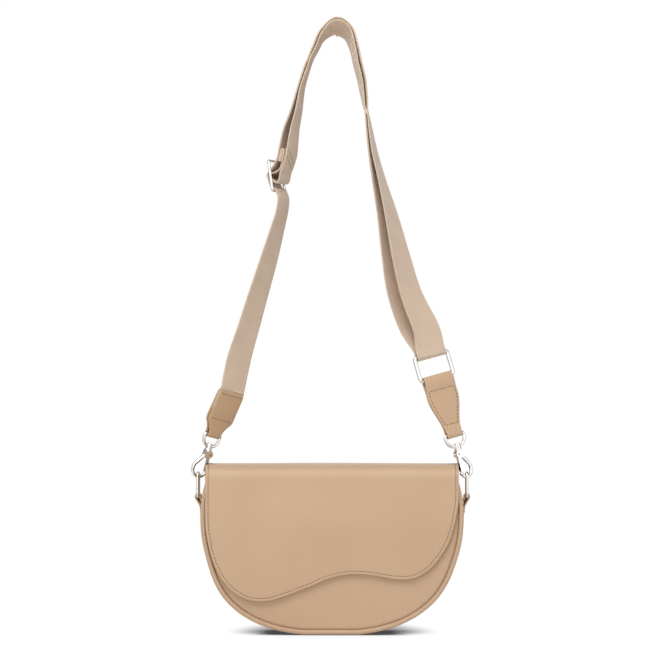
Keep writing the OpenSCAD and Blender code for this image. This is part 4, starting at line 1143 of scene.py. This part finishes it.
LEFT_LEG = [
    [0.756, 1, 0.94, 0, 14, 0.06, -0.012, -0.06],
    [0.634, 1, 0.85, 3, 4, 0.078, 0, -0.03],
    [0.562, 1, 0.785, 3, 2, 0.061, 0, -0.01],
    [0.485, 1, 0.711, 4, 0, 0.086, 0, 0],
    [0.395, 1, 0.592, 6, 0, 0.08, 0, 0],
    [0.292, 1, 0.433, 10, 0, 0.145, -0.015, 0],
    [0.183, 1, 0.301, 14, 0, 0.222, -0.055, 0],
    [0.127, 1, 0.168, 18, 0, 0.245, -0.105, 0],
]
LOWER_LEG = [
    [1.11, 1, 0.828, 20, 0],
    [1.02, 0.97, 0.757, 23, 0],
    [0.832, 0.86, 0.618, 30, 0],
    [0.562, 0.62, 0.431, 36, 0],
    [0.363, 0.42, 0.291, 40, 0],
    [0.161, 0.18, 0.152, 45, 0],
]


def front_edge(turn, rise):
    turn, rise = math.radians(turn), math.radians(rise)
    return np.array([-math.sin(turn) * math.cos(rise), -math.cos(turn) * math.cos(rise), math.sin(rise)])


def leg(rows, foot, head, inner=False):
    out = []
    for row in rows:
        place = foot + np.array(row[:3]) * (head - foot)
        if inner:
            place = place + STRAP_W * np.array(row[5:8])
        out.append(np.concatenate([place, front_edge(row[3], row[4])]))
    return out


print("from slider to crown", round(float(np.linalg.norm(crown - slider_mid)), 3), "m")

# %% [markdown]
# Round a bar, the webbing follows circles about it: the rectangular ring's lower arc is one, and
# the slider's middle bar and lower side carry two more. Stations there are angles on such a
# circle, so the webbing keeps clear of the wire by its own half thickness.

# %% Round the ring and the slider
SLIDER_WIRE, SLIDER_PITCH, WRAP_RISE = (v * MM for v in (2.8, 15, 7))
SLIDER_TURN, SLIDER_TILT, WRAP_STEP = 18, 8, 22.5
wrap_r = LINK_WIRE / 2 + LOOP + STRAP_T / 2
link_face = np.cross(right_bar, right_up)
link_face *= 1 if link_face[1] < 0 else -1
link_edge = right_bar * (1 if right_bar[0] < 0 else -1)


def wrap(angle, rise=0):
    out, up = circle_at(wrap_r, angle)
    return np.concatenate([link_high + out * link_face + (up + rise) * right_up, link_edge])


slider_edge = front_edge(SLIDER_TURN, 0)
slider_side = np.array([math.cos(math.radians(SLIDER_TURN)), -math.sin(math.radians(SLIDER_TURN)), 0])
sewn_r = SLIDER_WIRE / 2 + LOOP + STRAP_T / 2
over_r = sewn_r + STRAP_T + LOOP
tilt = math.radians(SLIDER_TILT)
slider_top = np.array([-SLIDER_PITCH * math.sin(tilt), SLIDER_PITCH * math.cos(tilt)])


def at_slider(place):
    return np.concatenate([slider_mid + place[0] * slider_side + [0, 0, place[1]], slider_edge])


print("the webbing's middle runs", round(wrap_r, 5), "m from the middle of the ring's wire")

# %% [markdown]
# The webbing's whole way is a list of stations: its turned-under end, the inner layer over the
# crown to the ring, and the outer layer back, over the slider and down to the left tab. Near the
# slider the places are listed one by one, since three layers and three bars share 15 mm there.

# %% The webbing's stations
# The turned-under end is several plies thick, so the band starts thick and thins to one ply;
# places are shares of the slider's pitch, and thicknesses are millimetres
SEWN_END = [[0.25, 0.24], [0.59, 0.471], [0.74, 0.88], [0.82, 1.333], [0.807, 1.667], [0.75, 1.747],
            [0.677, 1.667], [0.635, 1.333], [0.54, 0.96]]
SEWN_END_T = [4.5, 3.6, 1.9, 1.6]
OUTER_AT_SLIDER = [[0.36, 1.05], [0.1, 0.6]]
INNER_AT_SLIDER = [[0.92, 1.02], [0.80, 0.66], [0.62, 0.2], [0.54, -0.2], [0.42, -0.42], [0.26, -0.42]]
AROUND_BAR, CURVE_STEPS = range(125, 226, 25), 8
LOOPED, UNDER_LOW_BAR = (140, 180, 215), (120, 50, 0)


def pitch_places(shares):
    return [at_slider(SLIDER_PITCH * np.array(p)) for p in shares]


inner_stations = (
    pitch_places(SEWN_END[::-1]) + [at_slider(circle_at(sewn_r, a)) for a in AROUND_BAR]
    + pitch_places(INNER_AT_SLIDER[::-1])
    + leg(LEFT_LEG, slider_mid, crown, inner=True)[::-1]
    + leg(RIGHT_LEG, link_high, crown, inner=True)[::-1]
    + [wrap(180, WRAP_RISE)] + [wrap(180 + WRAP_STEP * k) for k in range(4)]
)
low_bar = [circle_at(r, a) for r, a in zip((over_r, sewn_r, sewn_r), UNDER_LOW_BAR)]
outer_stations = (
    [wrap(-90 + WRAP_STEP * k) for k in range(5)] + [wrap(0, WRAP_RISE)]
    + leg(RIGHT_LEG, link_high, crown) + leg(LEFT_LEG, slider_mid, crown)
    + pitch_places(OUTER_AT_SLIDER) + [at_slider(circle_at(over_r, a)) for a in LOOPED]
    + [at_slider(place - slider_top) for place in low_bar + [np.array([2 * sewn_r, -SLIDER_PITCH / 2])]]
    + leg(LOWER_LEG, left_tab_top, slider_mid)
    + [np.concatenate([left_tab_top + d * left_up, -left_bar])
       for d in (2 * SEAT_GAP, SEAT_GAP / 2, SEAT_GAP - WEBBING_SEAT)]
)
stations = np.array(inner_stations + outer_stations)
print(len(stations), "stations")

# %% [markdown]
# The stations give one long band with the woven finish. It stands for all three runs of the
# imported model, and because nothing cuts it, the weave runs on from one end to the other.

# %% The webbing
curve = smooth_curve(stations, CURVE_STEPS)
thickness = MM * np.interp(np.arange(len(curve)) / CURVE_STEPS, range(len(SEWN_END_T)), SEWN_END_T)
webbing = band_piece("webbing", curve[:, :3], curve[:, 3:], STRAP_W / 2, thickness, WEBBING, across=25)
settle(webbing, "webbing", "strap", "webbing_outer", "webbing_inner", "webbing_lower")
print("webbing", round(float(lengths_along(curve[:, :3])[-1]), 3), "m long")

# %% [markdown]
# Stitches are short runs of thread with the ends pulled into the leather. A bump could draw
# them, but then they would vanish from the side, so each stitch is a small capsule. One function
# lays them along any line, given the outward direction at each point.

# %% Stitches
STITCH_PITCH, STITCH_L, THREAD_R = 3.4 * MM, 2.3 * MM, 0.36 * MM
THREAD_SIDES, AHEAD = 6, 0.2 * MM
# Rings of one stitch: share of its length, size, and how far it lifts from the leather
STITCH_RINGS = [(0, 0.45, -0.5), (0.12, 0.85, -0.1), (0.5, 1, 0.1), (0.88, 0.85, -0.1), (1, 0.45, -0.5)]


def stitches(line, outward, first_index):
    """line holds points along one seam; outward holds a unit vector for each, or one for all."""
    line, outward = np.array(line), np.broadcast_to(outward, np.shape(line))
    lengths = lengths_along(line)
    count = max(1, int((lengths[-1] + STITCH_PITCH - STITCH_L) / STITCH_PITCH))
    start = (lengths[-1] - (count - 1) * STITCH_PITCH - STITCH_L) / 2

    def at(table, s):
        return np.array([np.interp(s, lengths, table[:, k]) for k in range(3)])

    verts, faces = [], []
    for i in range(count):
        first = start + i * STITCH_PITCH
        ring_start = first_index + len(verts)
        for share, size, lift in STITCH_RINGS:
            s = first + share * STITCH_L
            centre, up = at(line, s), unit_rows(at(outward, s))
            ahead = unit_rows(at(line, s + AHEAD) - at(line, s - AHEAD))
            side = np.cross(ahead, up)
            for k in range(THREAD_SIDES):
                a = 2 * math.pi * k / THREAD_SIDES
                round_it = size * (math.cos(a) * side + math.sin(a) * up)
                verts.append(centre + THREAD_R * (lift * up + round_it))
        faces += grid_faces(len(STITCH_RINGS), THREAD_SIDES, start=ring_start, wrap_cols=True)
        faces += end_faces(len(STITCH_RINGS), THREAD_SIDES, ring_start)
    return verts, faces


def sew(name, seams):
    verts, faces = [], []
    for line, outward in seams:
        more, runs = stitches(line, outward, len(verts))
        verts += more
        faces += runs
    print(len(verts) // (THREAD_SIDES * len(STITCH_RINGS)), "stitches")
    return make_piece(name, verts, faces, THREAD, weld=1e-9, sharp=80)


print("thread is", 2 * THREAD_R, "m thick")

# %% [markdown]
# The flap's stitches lie in its groove. One line follows the wavy edge, two go over each fold in
# the side margins, and one runs along the hem behind. They are given the same two folds as the
# skins below them.

# %% Seams of the flap
GROOVE, HEM_STEPS = -0.24 * MM, 60


def fold_line(side, places, outs):
    line = [[side * (neck(y) - STITCH_IN), y + GROOVE * o[0], z + GROOVE * o[1]]
            for (y, z), o in zip(places, outs)]
    return line, [[0.0, o[0], o[1]] for o in outs]


seam = inset(wavy, STITCH_IN)
seam_y = -(flap_y + flap_crown(seam[:, 0], seam[:, 1]) + GROOVE)
front_line = np.stack([seam[:, 0], seam_y, seam[:, 1]], axis=1)
front_seams = [(front_line, [0.0, -1.0, 0.0])] + [fold_line(side, *front_way()) for side in (-1, 1)]
bend(sew("flap_front_stitches", front_seams), FRONT_FOLD, "leather")

hem_z = np.linspace(back_centre[1], back_centre[1] - HEM_DROP + STITCH_IN, HEM_ROWS)
hem_x = np.linspace(-1, 1, HEM_STEPS) * (FLAP_W / 2 - STITCH_IN)
low_z = np.full(HEM_STEPS, hem_z[-1])
hem_y = flap_y + GROOVE + FLAP_CROWN * bulge(hem_x, low_z, FLAP_TOP)
back_seams = [fold_line(side, *back_way(hem_z[1:])) for side in (-1, 1)]
back_seams.append((np.stack([hem_x, hem_y, low_z], axis=1), [0.0, 1.0, 0.0]))
bend(sew("flap_back_stitches", back_seams), BACK_FOLD, "leather")

# %% [markdown]
# The strap's seams hold layers together. The left tab has a row above and a row below, the right
# tab a closed ring of four rows, and two slanted rows hold the webbing's turned-under end. Each
# is given in the piece's own terms, across and along it, so it stays on the face at any bend.

# %% Strap seams
SEAM_IN, LEFT_ROWS, RIGHT_ROWS = 2.6 * MM, (17 * MM, 3.5 * MM), (10.5 * MM, 11.5 * MM)
END_ROWS, END_SHARES = ((-1 * MM, -12 * MM), (-7 * MM, -18 * MM)), (0.85, -0.75)
TAB_ROW_STEPS, ROW_STEPS = 12, 20


def tab_seam(tab, face, ends):
    """A seam on one face of a strap tab, between two ends: (share across, height) each."""
    eye, bar, up, length, shares, seat, top = tab
    out = np.cross(up, bar)
    (u0, z0), (u1, z1) = ends
    line = []
    for t in np.linspace(0, 1, TAB_ROW_STEPS):
        u, z = u0 + (u1 - u0) * t, z0 + (z1 - z0) * t
        reach = float(tab_half(shares, length, z)) - SEAM_IN
        ply = ply_at(z, length, seat, top) + TAB_T / 2
        line.append(eye + u * reach * bar + z * up + face * ply * out)
    return line, face * out


low, high = LEFT_ROWS[0], LEFT_TAB_L - LEFT_ROWS[1]
seams = [tab_seam(left_tab, face, [(-1, z), (1, z)]) for face in (-1, 1) for z in (high, low)]
settle(sew("left_strap_tab_stitches", seams), "dark_leather", "strap")
low, high = RIGHT_ROWS[0], RIGHT_TAB_L - RIGHT_ROWS[1]
ring = [(-1, low), (1, low), (1, high), (-1, high), (-1, low)]
seams = [tab_seam(right_tab, face, ring[k : k + 2]) for face in (-1, 1) for k in range(4)]
settle(sew("right_strap_tab_stitches", seams), "leather", "right_tab")

sides, outs = band_frames(curve[:, :3], curve[:, 3:])[1:]
run = lengths_along(curve[:, :3])
main_ply = CURVE_STEPS * (len(SEWN_END) + len(AROUND_BAR) + len(INNER_AT_SLIDER))
outer_face = 1 if outs[main_ply][0] > 0 else -1


def on_webbing(reach, shares):
    """A seam over the webbing's outer face: a reach along it, shares across from edge to edge."""
    steps = np.interp(run[main_ply] + np.linspace(*reach, ROW_STEPS), run, range(len(run)))
    line, faces = [], []
    for step, share in zip(steps, np.linspace(*shares, ROW_STEPS)):
        i = int(step)
        centre = curve[i, :3] + (step - i) * (curve[i + 1, :3] - curve[i, :3])
        faces.append(outer_face * outs[i])
        line.append(centre + share * STRAP_W / 2 * sides[i] + STRAP_T / 2 * faces[-1])
    return line, faces


seams = [on_webbing(reach, END_SHARES) for reach in END_ROWS]
settle(sew("webbing_stitches", seams), "webbing", "strap")

# %% [markdown]
# On the bag, each side tab is sewn to the gusset on three sides, and one row of stitches under
# the mouth holds panel and lining together. That row is hidden by the flap until it is lifted.

# %% Seams of the bag
TAB_SEAM_IN, MOUTH_END, MOUTH_DOWN = (v * MM for v in (2, 8, 3))
TAB_SEAM_STEPS, MOUTH_STEPS = 6, 60


def side_tab_seams(side, z_bar):
    foot, half_drop = z_bar - SIDE_TAB_DROP, SIDE_TAB_DROP / 2
    heights = np.linspace(foot + TAB_SEAM_IN, foot + half_drop + MM, TAB_SEAM_STEPS)
    ply = SKIVED + (TAB_T - SKIVED) * smooth((heights - foot) / half_drop)
    face = [(side * (on_gusset(z, 2, p)[0] - p / 2), z) for z, p in zip(heights, ply)]
    reach = SIDE_TAB_W / 2 - TAB_SEAM_IN
    lines = [[[x, y, z] for x, z in face] for y in (-reach, reach)]
    lines.append([[face[0][0], y, face[0][1]] for y in np.linspace(-reach, reach, TAB_SEAM_STEPS)])
    return [(line, [side * 1.0, 0.0, 0.0]) for line in lines]


for side, word in LEFT_AND_RIGHT:
    seams = side_tab_seams(side, joint_vectors(f"{word}_ring_pivot")[0][2])
    settle(sew(f"{word}_side_tab_stitches", seams), "leather", "bag")

mouth_x = np.linspace(-1, 1, MOUTH_STEPS) * (TOP_W / 2 - MOUTH_END)
mouth_z = np.full(MOUTH_STEPS, MOUTH_Z - MOUTH_DOWN)
for side, word in FRONT_AND_BACK:
    mouth_y = side * (panel_y + PANEL_CROWN * bulge(mouth_x, mouth_z, MOUTH_Z))
    seam = np.stack([mouth_x, mouth_y, mouth_z], axis=1), [0.0, side, 0.0]
    settle(sew(f"{word}_mouth_stitches", [seam]), "leather", "bag")

# %% [markdown]
# Rings, hooks, gates, springs and bars need no new shape: a cast or drawn part is as plain as its
# solid, and its bars lie where the joints turn. They keep the imported model's meshes, and get the
# metals, smooth shading and crisp edges.

# %% Finish of the hardware
METAL_SHARP = 35
finishes = {"nickel": NICKEL, "spring_steel": STEEL}
for entry in record["subparts"]:
    node = frame["nodes"][entry["node"]]
    if entry["material_slot"] in finishes:
        node.data.materials.clear()
        node.data.materials.append(finishes[entry["material_slot"]])
        node.data.polygons.foreach_set("use_smooth", [True] * len(node.data.polygons))
        node.data.set_sharp_from_angle(angle=math.radians(METAL_SHARP))
        print(entry["node"], "is", finishes[entry["material_slot"]].name)
